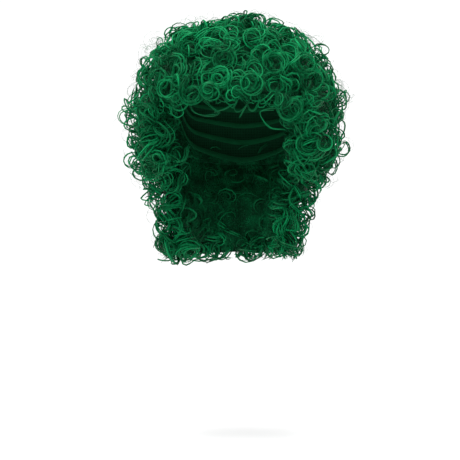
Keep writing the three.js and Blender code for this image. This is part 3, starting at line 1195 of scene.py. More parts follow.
@dataclass(frozen=True)
class HairFinish:
    """Glossy synthetic hair, whose colours are linear red, green and blue.

    Hair without strands of its own shows drawn-out fibres instead, with their own scales, tones and bump;
    its low fibre tones are painted shade.
    """

    name: str
    dark: Colour = (0.001, 0.045, 0.0145)
    mid: Colour = (0.0015, 0.14, 0.044)
    bright: Colour = (0.003, 0.24, 0.078)
    sheen: Colour = (0.35, 1.0, 0.6)
    # root_shade is how dark the painted shade at a strand's root gets, as a share of its colour.
    root_shade: float = 0.55
    streak_scale: float = 14.0
    roughness: Range = (0.38, 0.6)
    specular: float = 0.14
    on_strands: bool = True
    bend_scale: float = 45.0
    fibre_scale: float = 90.0
    fibre_bend: float = 22.0
    fibre_detail: float = 3.0
    fibre_detail_scale: float = 1.4
    fibre_tones: Range = (0.02, 0.18)
    fibre_bump: Range = (0.8, 0.002)

    def material(self) -> Material:
        """Builds the material.

        Returns:
            A material that reads the strands' map, or the object's own coordinates where there is none.
        """
        gloss = {"Specular IOR Level": self.specular, "Specular Tint": (*self.sheen, 1.0)}
        made, shader = new_material(self.name, gloss)
        tree = made.node_tree
        inputs = {
            "Dark": (*self.dark, 1.0),
            "Mid": (*self.mid, 1.0),
            "Bright": (*self.bright, 1.0),
            "Root Shade": self.root_shade,
            "Streak Scale": self.streak_scale,
        }
        fibre = add_node(tree, "ShaderNodeGroup", inputs, node_tree=FibreGroup().tree())
        if self.on_strands:
            self.stranded(tree, fibre)
        else:
            self.packed(tree, fibre, shader)
        tree.links.new(fibre.outputs["Color"], shader.inputs["Base Color"])
        rough = ranged(tree, fibre.outputs["Streak"], NOISE_RANGE, self.roughness)
        tree.links.new(rough, shader.inputs["Roughness"])
        return made

    @staticmethod
    def stranded(tree: NodeTree, fibre: Node) -> None:
        """Reads place and tone from the strands' map.

        Args:
            tree: The material's tree.
            fibre: The fibre group's node.
        """
        place = add_node(tree, "ShaderNodeUVMap", uv_map=STRAND_MAP).outputs["UV"]
        parts = add_node(tree, "ShaderNodeSeparateXYZ", {0: place}).outputs
        for label, value in (("Place", place), ("Along", parts["X"]), ("Tone", parts["Y"])):
            tree.links.new(value, fibre.inputs[label])

    def packed(self, tree: NodeTree, fibre: Node, shader: Node) -> None:
        """Lays drawn-out fibres over a surface that has no strands of its own.

        Args:
            tree: The material's tree.
            fibre: The fibre group's node.
            shader: The shader that gets the bump.
        """
        place = add_node(tree, "ShaderNodeTexCoord").outputs["Object"]
        bend = add_node(tree, "ShaderNodeTexNoise", {"Vector": place, "Scale": self.bend_scale})
        pattern = {
            "Vector": place,
            "Scale": self.fibre_scale,
            "Distortion": self.fibre_bend,
            "Detail": self.fibre_detail,
            "Detail Scale": self.fibre_detail_scale,
        }
        fibres = add_node(tree, "ShaderNodeTexWave", pattern).outputs["Fac"]
        tone = ranged(tree, fibres, (0.0, 1.0), self.fibre_tones)
        for label, value in (("Place", place), ("Along", bend.outputs["Fac"]), ("Tone", tone)):
            tree.links.new(value, fibre.inputs[label])
        add_bump(shader, tree, fibres, self.fibre_bump)


STRANDS = HairFinish("hair_strands")
# Packed hair keeps a darker dark colour, a deeper root shade and low fibre tones: painted shade for the hair
# below the locks.
PACKED = HairFinish(
    "hair_packed", dark=(0.0006, 0.024, 0.008), root_shade=0.35, streak_scale=60.0, on_strands=False
)


@dataclass(frozen=True)
class Scatter:
    """Even but unruly places for locks.

    jitter and stagger are shares of the spacing, row_pitch is a row's height in spacings, and least_round
    keeps places at the dome's top from being turned too far.
    """

    form: WigForm
    dome_end: float = 128.0
    jitter: float = 0.34
    stagger: float = 0.25
    row_pitch: float = 0.87
    least_round: float = 0.15

    def dome(self, spacing: float, phase: float, rng: Chance) -> tuple[Array, Array]:
        """Spreads places over the dome along a golden spiral.

        Args:
            spacing: The mean distance between places, in millimetres.
            phase: Degrees by which the spiral is turned.
            rng: The source of the jitter.

        Returns:
            Azimuths and polar angles.
        """
        top = 1.0 - math.cos(math.radians(self.dome_end))
        count = round(FULL_TURN * MEAN_REACH**2 * top / spacing**2)
        order = np.arange(count) + 0.5
        polar = np.degrees(np.arccos(1.0 - top * order / count))
        azimuth = (order * GOLDEN_TURN + phase) % 360.0
        wobble = np.degrees(spacing * self.jitter / MEAN_REACH)
        polar = np.abs(polar + rng.uniform(-wobble, wobble, count))
        round_size = np.maximum(np.sin(np.radians(polar)), self.least_round)
        azimuth += rng.uniform(-wobble, wobble, count) / round_size
        return azimuth % 360.0, polar

    def nape(self, window: Range, heights: Range, spacing: float, rng: Chance) -> tuple[Array, Array]:
        """Spreads places over the hanging hair in staggered rows.

        Args:
            window: The first and last azimuth.
            heights: The lowest and highest row.
            spacing: The distance between places, in millimetres.
            rng: The source of the jitter.

        Returns:
            Azimuths and heights.
        """
        places = []
        rows = max(1, round((heights[1] - heights[0]) / (self.row_pitch * spacing)))
        for row, height in enumerate(np.linspace(heights[0], heights[1], rows)):
            radius = float(self.form.nape_radius(180.0, height, True))
            count = max(1, round(math.radians(window[1] - window[0]) * radius / spacing))
            step = (window[1] - window[0]) / count
            shift = self.stagger * (-1) ** row
            for i in range(count):
                azimuth = window[0] + step * (i + 0.5 + shift + rng.uniform(-1, 1) * self.jitter)
                places.append((azimuth, height + rng.uniform(-1, 1) * self.jitter * spacing))
        azimuths, levels = np.array(places).T
        return np.clip(azimuths, *window), levels


@dataclass
class HairSection:
    """One section of the hair, which stands for one node of the frame.

    lift is what is added to the tone of its locks; above nought, as on the crown, it is painted light.
    """

    node: str
    form: WigForm
    seed: int
    lift: float = field(default=0.0, kw_only=True)
    features: tuple[Feature, ...] = field(default=(), kw_only=True)

    def __post_init__(self) -> None:
        """Starts the section's own random numbers and its empty set of locks."""
        self.rng = np.random.default_rng(SEED + self.seed)
        self.locks = LockLines(*self.form.limits, self.rng, self.lift)

    def spot(self, azimuth: float, polar: float) -> Array:
        """Places a point on the dome's outer form."""
        return self.form.dome_point(azimuth, polar, self.form.dome_reach(azimuth, polar))

    def leaning(self, way: Array, tilt: Range, droop: float = 0.0) -> Array:
        """Leans a direction by a random tilt and lets it droop.

        Args:
            way: The unit vector to lean.
            tilt: The least and most tilt, in degrees.
            droop: How much of straight down is added.

        Returns:
            The leaning unit vector.
        """
        first, second = across(way)
        angle, round_angle = math.radians(between(self.rng, tilt)), self.rng.uniform(0, FULL_TURN)
        side = math.cos(round_angle) * first + math.sin(round_angle) * second
        return unit(math.cos(angle) * way + math.sin(angle) * side - droop * UP)

    def set_features(self) -> None:
        """Winds the locks that the eye picks out on the dome."""
        for feature in self.features:
            normal = direction(feature.azimuth, feature.level)
            axis = self.leaning(direction(*feature.facing), (0.0, feature.lean))
            crest = normal if feature.kind is LockKind.LOOP else None
            upslope = direction(feature.azimuth, feature.level - 90.0)
            spot = self.spot(feature.azimuth, feature.level)
            self.locks.wind(feature.style(), spot, axis, normal, crest, upslope)

    def plant(self) -> None:
        """Winds the section's locks; each kind of section has its own way."""
        raise NotImplementedError

    def build(self, tree: StrandTree, finish: Material) -> Object:
        """Plants and grows the section, and sets it in the frame.

        Args:
            tree: The tree that grows strands.
            finish: The strands' material.

        Returns:
            The finished piece.
        """
        self.plant()
        piece = tree.grow(self.node + "_strands", self.locks, finish, SEED + self.seed)
        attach(piece, BODY)
        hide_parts(self.node)
        return piece


@dataclass(frozen=True)
class FrizzPatch:
    """A patch of loose hairs: where it is, how far they reach out of the outline and how many there are."""

    azimuth: float
    polar: float
    reach: float
    count: int


@dataclass
class DomeSection(HairSection):
    """A section over the dome, within a window of azimuth and polar angle.

    kind_turn turns the places of each kind of lock further than those of the last. Rings stay clear of a
    feature by a share of its radius and some room. Frizz scatters in azimuth and polar angle. Loops have
    their axes levelled, and turned back along the surface, by the given shares.
    """

    azimuth: Range
    polar: Range
    spacings: tuple[tuple[LockKind, float], ...] = (
        (LockKind.RING, 26.5),
        (LockKind.RINGLET, 23.5),
        (LockKind.WAVE, 48.0),
        (LockKind.LOOP, 31.0),
        (LockKind.WISP, 22.0),
    )
    frizz: tuple[FrizzPatch, ...] = (
        FrizzPatch(278.0, 54.0, 15.0, 16),
        FrizzPatch(278.0, 75.0, 10.0, 12),
        FrizzPatch(98.0, 80.0, 12.0, 18),
        FrizzPatch(98.0, 48.0, 9.0, 10),
        FrizzPatch(70.0, 12.0, 9.0, 10),
        FrizzPatch(280.0, 20.0, 9.0, 10),
        FrizzPatch(180.0, 45.0, 9.0, 12),
        FrizzPatch(205.0, 85.0, 9.0, 12),
        FrizzPatch(150.0, 95.0, 9.0, 12),
    )
    frizz_scatter: Range = (9.0, 5.0)
    frizz_least: float = 2.0
    frizz_tilt: Range = (0.0, 80.0)
    kind_turn: float = 31.0
    feature_share: float = 0.7
    feature_room: float = 6.0
    ring_droop: float = 0.12
    lying_droop: float = 0.15
    loop_level: float = 0.8
    loop_along: float = 0.85

    def holds(self, azimuth: Numbers, polar: Numbers) -> Array | bool:
        """Marks the places that lie in the section's window.

        Args:
            azimuth: In degrees.
            polar: In degrees.

        Returns:
            Whether each place lies in it.
        """
        turned = (azimuth - self.azimuth[0]) % 360.0
        inside = turned < self.azimuth[1] - self.azimuth[0]
        return inside & (polar >= self.polar[0]) & (polar < self.polar[1])

    def plant(self) -> None:
        """Winds every kind of lock over the window, and leaves room for its features."""
        self.features = tuple(f for f in self.features if self.holds(f.azimuth, f.level))
        for kind, spacing in self.spacings:
            order = list(LockKind).index(kind)
            shared = np.random.default_rng(SEED + order)
            places = Scatter(self.form).dome(spacing, self.kind_turn * order, shared)
            mine = self.holds(*places)
            if kind is LockKind.RING:
                for feature in self.features:
                    mine &= feature.away(*places) > self.feature_share * feature.radius + self.feature_room
            for azimuth, polar in zip(places[0][mine], places[1][mine]):
                self.lock(kind, azimuth, polar)
        self.set_features()
        self.fray()

    def fray(self) -> None:
        """Sets patches of loose hairs that stand well out of the outline."""
        for patch in self.frizz:
            if not self.holds(patch.azimuth, patch.polar):
                continue
            style = replace(STYLES[LockKind.WISP], depth=(-patch.reach, -self.frizz_least))
            for _ in range(patch.count):
                azimuth = patch.azimuth + self.rng.normal(0.0, self.frizz_scatter[0])
                polar = abs(patch.polar + self.rng.normal(0.0, self.frizz_scatter[1]))
                normal = direction(azimuth, polar)
                axis = self.leaning(across(normal)[0], self.frizz_tilt)
                self.locks.wind(style, self.spot(azimuth, polar), axis, normal, normal)

    def lock(self, kind: LockKind, azimuth: float, polar: float) -> None:
        """Winds one lock at a place on the dome.

        Args:
            kind: The kind of lock.
            azimuth: In degrees.
            polar: In degrees.
        """
        style, spot, normal = STYLES[kind], self.spot(azimuth, polar), direction(azimuth, polar)
        if kind is LockKind.RING:
            axis = self.leaning(normal, style.tilt, self.ring_droop)
            upslope = direction(azimuth, polar - 90.0)
            self.locks.wind(style, spot, axis, normal, root=upslope)
            return
        first, second = across(normal)
        turn = self.rng.uniform(0, FULL_TURN)
        level = math.cos(turn) * first + math.sin(turn) * second
        if kind is LockKind.WAVE:
            self.locks.wave(style, spot, level, normal)
            return
        if kind is LockKind.LOOP:
            level = unit(level - self.loop_level * UP * (level @ UP))
        axis = self.leaning(level, style.tilt, self.lying_droop)
        if kind is LockKind.LOOP:
            aside = unit(np.cross(normal, level))
            axis = unit(axis - self.loop_along * aside * (axis @ aside))
        self.locks.wind(style, spot, axis, normal, normal)


@dataclass
class FringeSection(DomeSection):
    """The section at the front, whose lower edge is uneven and hung with thin loops.

    Curls keep edge_gap degrees above the edge. Loops and ringlets keep margins at both sides of it, and rise
    by some degrees above it.
    """

    edge_azimuth: Row = (-58, -45, -20, 0, 20, 32, 45, 58)
    edge_polar: Row = (98, 91, 88, 87, 87, 91, 99, 106)
    edge_gap: float = 3.0
    edge_depth: Range = (3.0, 20.0)
    edge_loops: int = 38
    loop_margin: float = 3.0
    loop_slip: Range = (-2.0, 2.0)
    loop_rise: Range = (-1.0, 3.0)
    edge_ringlets: int = 16
    ringlet_margin: float = 4.0
    ringlet_rise: Range = (4.0, 9.0)

    def holds(self, azimuth: Numbers, polar: Numbers) -> Array | bool:
        """Marks the places in the window that lie above the uneven edge.

        Args:
            azimuth: In degrees.
            polar: In degrees.

        Returns:
            Whether each place lies there.
        """
        off = wrapped(azimuth)
        inside = (off > self.azimuth[0]) & (off < self.azimuth[1]) & (polar >= self.polar[0])
        return inside & (polar < np.interp(off, self.edge_azimuth, self.edge_polar) - self.edge_gap)

    def plant(self) -> None:
        """Winds the section's locks, then the loops along its edge."""
        super().plant()
        first, last = self.azimuth
        for azimuth in np.linspace(first + self.loop_margin, last - self.loop_margin, self.edge_loops):
            azimuth += between(self.rng, self.loop_slip)
            self.hem(LockKind.EDGE, azimuth, between(self.rng, self.loop_rise))
        first, last = first + self.ringlet_margin, last - self.ringlet_margin
        for azimuth in np.linspace(first, last, self.edge_ringlets):
            self.hem(LockKind.RINGLET, azimuth, between(self.rng, self.ringlet_rise))
        for strand in FRINGE_STRANDS:
            self.locks.lay(strand, self.form)

    def hem(self, kind: LockKind, azimuth: float, rise: float) -> None:
        """Winds one lock along the edge.

        Args:
            kind: A thin loop, or a ringlet that thickens the edge from behind.
            azimuth: In degrees.
            rise: Degrees above the edge.
        """
        style = replace(STYLES[kind], depth=self.edge_depth)
        polar = float(np.interp(azimuth, self.edge_azimuth, self.edge_polar)) - rise
        normal, down = level_out(azimuth), -UP
        way = normal if kind is LockKind.EDGE else level_out(azimuth + 90.0)
        axis = self.leaning(way, style.tilt)
        self.locks.wind(style, self.spot(azimuth, polar), axis, normal, down)


@dataclass(frozen=True)
class FrontEdge:
    """The edge of the hanging hair that faces forward, with its curls in rows and columns.

    turn is 1 where azimuth grows forward and -1 where it falls. forward and backing are how far ahead of
    the edge its curls and the ringlets behind them lie, in degrees. Shares run through the hair's depth.
    """

    azimuth: float
    turn: float
    rows: int = 6
    columns: int = 2
    top_gap: float = 6.0
    foot_gap: float = 4.0
    stagger: float = 0.2
    level_slip: Range = (-5.0, 5.0)
    share_slip: Range = (-0.1, 0.1)
    forward: Range = (2.0, 9.0)
    stem: Range = (6.0, 16.0)
    root_inward: float = 0.7
    ring_droop: float = 0.25
    hanging_every: int = 3
    hanging_tilt: Range = (5.0, 40.0)
    wave_depth: float = 4.0
    wave_outward: float = 0.1
    backing: Range = (-6.0, 2.0)
    backing_share: float = 0.2


@dataclass
class NapeSection(HairSection):
    """A section that hangs below the dome, between two heights.

    Shares run through the hair's depth, from 0 at its inner face.
    """

    azimuth: Range
    heights: Range = (-262.0, -142.0)
    edge: FrontEdge | None = None
    ring_spacing: float = 25.0
    inner_spacing: float = 27.0
    wisp_spacing: float = 24.0
    loop_spacing: float = 34.0
    wave_spacing: float = 45.0
    ring_droop: float = 0.25
    filler_share: Range = (0.55, 0.95)
    inner_painted_shade_tone: Range = (0.05, 0.3)
    inner_bundles: tuple[int, int] = (2, 3)
    inner_droop: float = 0.3
    stray_tilt: Range = (0.0, 80.0)
    stray_droop: float = 0.3
    wave_aside: float = 0.5
    foot_locks: int = 11
    foot_margin: float = 3.0
    foot_rise: Range = (-4.0, 20.0)
    foot_share: Range = (0.4, 0.9)
    foot_tone: Range = (0.1, 0.4)

    def front_edge(self, edge: FrontEdge) -> None:
        """Winds curls on the edge that faces forward.

        Args:
            edge: The edge.
        """
        style = replace(STYLES[LockKind.RING], stem=edge.stem)
        forward, outward = level_out(edge.azimuth + 90.0 * edge.turn), level_out(edge.azimuth)
        root, down = unit(UP - edge.root_inward * outward), unit(-UP + edge.wave_outward * outward)
        foot, top = self.heights[0] + edge.foot_gap, self.heights[1] - edge.top_gap
        for row, height in enumerate(np.linspace(top, foot, edge.rows)):
            for column in range(edge.columns):
                share = (column + 0.5 + edge.stagger * (-1) ** row) / edge.columns
                azimuth = edge.azimuth + edge.turn * between(self.rng, edge.forward)
                level = height + between(self.rng, edge.level_slip)
                spot = self.within(azimuth, level, share + between(self.rng, edge.share_slip))
                if (row + column) % edge.hanging_every == 0:
                    axis = self.leaning(-UP, edge.hanging_tilt)
                    self.locks.wind(STYLES[LockKind.HANGING], spot, axis, forward, -forward)
                else:
                    axis = self.leaning(forward, style.tilt, edge.ring_droop)
                    self.locks.wind(style, spot, axis, forward, root=root)
                if column == row % edge.columns:
                    behind = spot - edge.wave_depth * forward
                    self.locks.wave(STYLES[LockKind.WAVE], behind, down, forward)
                azimuth = edge.azimuth + edge.turn * between(self.rng, edge.backing)
                self.hanging(azimuth, level, share + edge.backing_share)

    def plant(self) -> None:
        """Winds rings on both faces, hanging ringlets between them, stray locks and the foot."""
        if self.edge is not None:
            self.front_edge(self.edge)
        layers: tuple[tuple[float, Callable[[float, float], None]], ...] = (
            (self.ring_spacing, self.ring),
            (self.ring_spacing, self.filler),
            (self.inner_spacing, partial(self.ring, inner=True)),
            (self.wisp_spacing, partial(self.stray, LockKind.WISP)),
            (self.loop_spacing, partial(self.stray, LockKind.LOOP)),
            (self.wave_spacing, partial(self.stray, LockKind.WAVE)),
        )
        scatter = Scatter(self.form)
        for spacing, add_lock in layers:
            for azimuth, height in zip(*scatter.nape(self.azimuth, self.heights, spacing, self.rng)):
                add_lock(azimuth, height)
        first, last = self.azimuth[0] + self.foot_margin, self.azimuth[1] - self.foot_margin
        for azimuth in np.linspace(first, last, self.foot_locks):
            height = self.heights[0] + between(self.rng, self.foot_rise)
            self.hanging(azimuth, height, between(self.rng, self.foot_share), self.foot_tone)
        for feature in self.features:
            normal, axis = level_out(feature.azimuth), direction(*feature.facing)
            spot = self.within(feature.azimuth, feature.level, 1.0)
            self.locks.wind(feature.style(), spot, axis, normal, root=UP)

    def within(self, azimuth: float, height: float, share: float) -> Array:
        """Places a point in the hanging hair.

        Args:
            azimuth: In degrees.
            height: In millimetres.
            share: How far out through the hair's depth it lies.

        Returns:
            The point.
        """
        inner, outer = (self.form.nape_radius(azimuth, height, face) for face in (False, True))
        return self.form.nape_point(azimuth, height, inner + (outer - inner) * share)

    def ring(self, azimuth: float, height: float, inner: bool = False) -> None:
        """Winds a ring on the outside, or one on the inside whose darker tone is painted shade, which shows
        from the front.

        Args:
            azimuth: In degrees.
            height: In millimetres.
            inner: Whether it lies on the inside.
        """
        style, normal, share, droop = STYLES[LockKind.RING], level_out(azimuth), 1.0, self.ring_droop
        # Inner rings take the darker inner tones: painted shade inside the hanging hair.
        if inner:
            style = replace(style, tone=self.inner_painted_shade_tone, bundles=self.inner_bundles)
            normal, share, droop = -normal, 0.0, self.inner_droop
        axis = self.leaning(normal, style.tilt, droop)
        self.locks.wind(style, self.within(azimuth, height, share), axis, normal, root=UP)

    def filler(self, azimuth: float, height: float) -> None:
        """Winds a hanging ringlet between the two faces."""
        self.hanging(azimuth, height, between(self.rng, self.filler_share))

    def hanging(self, azimuth: float, height: float, share: float, tone: Range | None = None) -> None:
        """Winds a ringlet that hangs with its outermost point at a share of the depth.

        Args:
            azimuth: In degrees.
            height: In millimetres.
            share: How far out through the hair's depth it lies.
            tone: Limits of its tone, where they aren't the kind's own.
        """
        style, normal = STYLES[LockKind.HANGING], level_out(azimuth)
        style = replace(style, tone=tone or style.tone)
        axis = self.leaning(-UP, style.tilt)
        self.locks.wind(style, self.within(azimuth, height, share), axis, normal, -normal)

    def stray(self, kind: LockKind, azimuth: float, height: float) -> None:
        """Winds a wisp, a loop or a wave on the outside.

        Args:
            kind: The kind of lock.
            azimuth: In degrees.
            height: In millimetres.
        """
        style, normal = STYLES[kind], level_out(azimuth)
        axis = self.leaning(level_out(azimuth + 90.0), self.stray_tilt, self.stray_droop)
        spot = self.within(azimuth, height, 1.0)
        if kind is LockKind.WAVE:
            self.locks.wave(style, spot, unit(-UP + self.wave_aside * axis), normal)
        else:
            self.locks.wind(style, spot, axis, normal, normal)


@dataclass
class TempleSection(HairSection):
    """A tuft at a temple, whose curls face forward.

    turn is 1 where azimuth grows forward and -1 where it falls, and forward is how far ahead of the azimuth
    the curls lie, in degrees. Shares run through the hair's depth, from just off the cap. Every second
    column is staggered by a share of a row.
    """

    azimuth: float
    turn: float
    forward: Range
    polar: Range = (93.0, 128.0)
    polar_slip: Range = (-2.0, 2.0)
    shares: Range = (0.12, 0.95)
    cap_gap: float = 3.0
    rows: int = 6
    columns: int = 3
    row_start: float = 0.25
    stagger: float = 0.5
    backing: int = 14
    edge_loops: int = 8
    ring_turns: Range = (0.75, 1.15)
    ring_tone: Range = (0.24, 0.52)
    ring_tilt: Range = (28.0, 62.0)
    ring_droop: float = 0.1
    hanging_tilt: Range = (10.0, 60.0)

    def plant(self) -> None:
        """Winds ringlets inside the tuft, then rings over its front face, row by row."""
        for polar in np.linspace(*self.polar, self.backing):
            self.lock(LockKind.HANGING, float(polar), between(self.rng, self.shares))
        for i in range(self.rows):
            for j in range(self.columns):
                row = i + self.stagger * (j % 2) + self.row_start
                polar = np.interp(row / self.rows, (0, 1), self.polar)
                share = np.interp((j + 0.5) / self.columns, (0, 1), self.shares)
                self.lock(LockKind.RING, float(polar), float(share))
                self.lock(LockKind.RINGLET, float(polar), float(share))
        for polar in np.linspace(*self.polar, self.edge_loops):
            self.lock(LockKind.EDGE, float(polar), self.shares[0])
        self.set_features()

    def lock(self, kind: LockKind, polar: float, share: float) -> None:
        """Winds one lock on the tuft.

        Args:
            kind: The kind of lock.
            polar: In degrees.
            share: How far out through the hair's depth the lock lies.
        """
        style = STYLES[kind]
        azimuth = self.azimuth + self.turn * between(self.rng, self.forward)
        polar += between(self.rng, self.polar_slip)
        inner = self.form.cap_reach(azimuth, polar) + self.cap_gap
        outer = self.form.dome_reach(azimuth, polar)
        spot = self.form.dome_point(azimuth, polar, inner + (outer - inner) * share)
        forward = level_out(azimuth + 90.0 * self.turn)
        if kind is LockKind.RING:
            style = replace(style, turns=self.ring_turns, tone=self.ring_tone)
            axis = self.leaning(forward, self.ring_tilt, self.ring_droop)
            self.locks.wind(style, spot, axis, forward, root=UP)
        else:
            axis = self.leaning(-UP, self.hanging_tilt)
            self.locks.wind(style, spot, axis, forward, forward)


@dataclass
class PackedHair:
    """The dense hair below the locks, which lets no light through from outside.

    It lies by its depths below the outer form and by its gaps off the cap and the inner face, is rippled,
    and is rounded over edge_width. The edges beside the face and at the foot are waves, the latter given by
    height, waves to a turn and phase. The degrees' sizes turn angles into millimetres.
    """

    form: WigForm
    node: str = "packed_hair"
    columns: int = 144
    rows: int = 50
    depth: float = 20.0
    least_depth: float = 2.0
    nape_depth: float = 18.0
    root_gap: float = 3.4
    inner_gap: float = 9.0
    edge_width: float = 12.0
    dome_degree: float = 2.3
    nape_degree: float = 1.8
    dome_end: float = 129.0
    face_azimuth: float = 61.0
    face_polar: float = 77.0
    face_wave: float = 4.0
    face_waves: Range = (13.0, 5.0)
    corner_azimuth: float = 34.0
    corner_drop: float = 18.0
    nape_window: Range = (87.0, 273.0)
    nape_heights: Range = (-267.0, -134.0)
    foot_rise: float = 8.0
    foot_waves: tuple[tuple[float, float, float], ...] = ((7.0, 9.0, 0.0), (5.0, 23.0, 40.0))
    ripple: float = 2.6
    ripple_scale: float = 0.075

    @staticmethod
    def shell(inner: Array, outer: Array, solid: Array, ring: bool) -> Shell:
        """Joins an inner and an outer grid into a closed shell that thins to nothing at its edges.

        Args:
            inner: Inner points by row and column.
            outer: Outer points by row and column.
            solid: Marks the cells that are filled.
            ring: Whether the columns close on themselves.

        Returns:
            Points and faces.
        """
        rows, columns = inner.shape[:2]
        points = np.concatenate([inner.reshape(-1, 3), outer.reshape(-1, 3)])
        half = rows * columns
        faces = []
        for j in range(rows - 1):
            for i in range(columns if ring else columns - 1):
                if not solid[j, i]:
                    continue
                k = (i + 1) % columns
                a, b, c, d = j * columns + i, j * columns + k, (j + 1) * columns + k, (j + 1) * columns + i
                faces.append((b, c, d, a))
                faces.append((a + half, d + half, c + half, b + half))
        return points.tolist(), faces

    @staticmethod
    def rounded(share: Array) -> Array:
        """Rounds a thickness off towards an edge; share is 0 at the edge and 1 where it is full."""
        share = np.clip(share, 0.0, 1.0)
        return np.sqrt(share * (2.0 - share))

    def rippled(self, points: Array, amount: Array) -> Array:
        """Makes a smooth surface lumpy, as packed curls are."""
        lumps = np.array([noise.noise(Vector(p * self.ripple_scale)) for p in points.reshape(-1, 3)])
        return amount + self.ripple * lumps.reshape(amount.shape)

    def dome(self) -> Shell:
        """Builds the part over the cap, open at the front.

        Returns:
            Points and faces.
        """
        azimuth = np.arange(self.columns) * 360.0 / self.columns
        polar = np.linspace(0.0, self.dome_end, self.rows + 1)
        a, p = np.meshgrid(azimuth, polar)
        inner = self.form.cap_reach(a, p) + self.root_gap
        full = self.form.dome_reach(a, p) - self.depth
        off = np.abs(wrapped(a))
        wave = self.face_wave * np.sin(np.radians(self.face_waves[0] * p))
        face_edge = self.face_azimuth + wave * np.sin(np.radians(self.face_waves[1] * p))
        corner_span = self.face_azimuth - self.corner_azimuth
        corner = np.clip((off - self.corner_azimuth) / corner_span, 0.0, 1.0) ** 2
        top_edge = self.face_polar + self.corner_drop * corner
        into_face = np.maximum(off - face_edge, top_edge - p) * self.dome_degree
        to_edge = np.minimum(into_face, (self.dome_end - p) * self.dome_degree)
        thickness = self.rippled(self.form.dome_point(a, p, full), full - inner)
        fill = self.rounded(to_edge / self.edge_width)
        outer = inner + np.maximum(thickness, self.least_depth) * fill
        closed = to_edge > 0
        solid = closed | np.roll(closed, -1, 1)
        solid = solid | np.roll(solid, -1, 0)
        return self.shell(self.form.dome_point(a, p, inner), self.form.dome_point(a, p, outer), solid, True)

    def nape(self) -> Shell:
        """Builds the part that hangs below the dome.

        Returns:
            Points and faces.
        """
        azimuth = np.linspace(*self.nape_window, self.columns // 2)
        height = np.linspace(self.nape_heights[1], self.nape_heights[0], self.rows // 2)
        a, h = np.meshgrid(azimuth, height)
        near = self.form.nape_radius(a, h, False) + self.inner_gap
        far = self.form.nape_radius(a, h, True) - self.nape_depth
        sideways = np.minimum(a - self.nape_window[0], self.nape_window[1] - a) * self.nape_degree
        foot = sum(size * np.sin(np.radians(a * waves + phase)) for size, waves, phase in self.foot_waves)
        to_edge = np.minimum(sideways, h - self.nape_heights[0] - self.foot_rise - foot)
        middle = (near + far) / 2
        half = self.rippled(self.form.nape_point(a, h, far), (far - near) / 2)
        half = half * self.rounded(to_edge / (2 * self.edge_width))
        inner = self.form.nape_point(a, h, middle - half)
        outer = self.form.nape_point(a, h, middle + half)
        return self.shell(inner, outer, np.ones_like(a, bool), False)

    def build(self, finish: Material) -> Object:
        """Makes the mesh, closes its edges and sets it in the frame.

        Args:
            finish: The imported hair's material.

        Returns:
            The finished piece.
        """
        points, faces = [], []
        for more_points, more_faces in (self.dome(), self.nape()):
            faces += [tuple(i + len(points) for i in face) for face in more_faces]
            points += more_points
        piece = plain_mesh(self.node, np.array(points), faces, finish)
        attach(piece, BODY)
        return piece


def plain_mesh(
    name: str, points: Array, faces: list[Face], finish: Material, merge: float = 0.05, sliver: float = 0.02
) -> Object:
    """Makes an object of points in millimetres, with doubles merged and faces turned outwards.

    Args:
        name: The object's name.
        points: The points.
        faces: Their faces.
        finish: The object's material.
        merge: How near points are to be merged.
        sliver: How short edges are to be dissolved.

    Returns:
        The linked object.
    """
    mesh = bpy.data.meshes.new(name)
    mesh.from_pydata((points * MM).tolist(), [], faces)
    build = bmesh.new()
    build.from_mesh(mesh)
    bmesh.ops.remove_doubles(build, verts=build.verts, dist=merge * MM)
    bmesh.ops.dissolve_degenerate(build, edges=build.edges, dist=sliver * MM)
    bmesh.ops.delete(build, geom=[v for v in build.verts if not v.link_faces], context="VERTS")
    bmesh.ops.recalc_face_normals(build, faces=build.faces)
    build.to_mesh(mesh)
    build.free()
    mesh.shade_smooth()
    mesh.materials.append(finish)
    return linked(name, mesh)


@dataclass(frozen=True)
class CapFinish:
    """A dark cloth: fine net, or the sewn rows that carry the hair."""

    name: str
    thread: Colour
    gap: Colour
    thread_scale: float
    thread_bend: float = 0.6
    bump: Range = (0.6, 0.0006)
    roughness: float = 0.9
    specular: float = 0.06

    def material(self) -> Material:
        """Builds the material from two crossing waves on the object's coordinates.

        Returns:
            The material.
        """
        made, shader = new_material(
            self.name, {"Roughness": self.roughness, "Specular IOR Level": self.specular}
        )
        tree = made.node_tree
        place = add_node(tree, "ShaderNodeTexCoord").outputs["Object"]
        pattern = {"Vector": place, "Scale": self.thread_scale, "Distortion": self.thread_bend}
        waves = [add_node(tree, "ShaderNodeTexWave", pattern, bands_direction=way) for way in ("X", "Z")]
        heights = {number: wave.outputs["Fac"] for number, wave in enumerate(waves)}
        knit = add_node(tree, "ShaderNodeMath", heights, operation="MAXIMUM").outputs[0]
        colour = mixed(tree, knit, (*self.gap, 1.0), (*self.thread, 1.0))
        tree.links.new(colour, shader.inputs["Base Color"])
        add_bump(shader, tree, knit, self.bump)
        return made


NET = CapFinish("cap_net", (0.002, 0.032, 0.012), (0.0005, 0.008, 0.003), 150.0)
SEWN = CapFinish("cap_sewn_rows", (0.003, 0.085, 0.028), (0.001, 0.022, 0.008), 260.0)


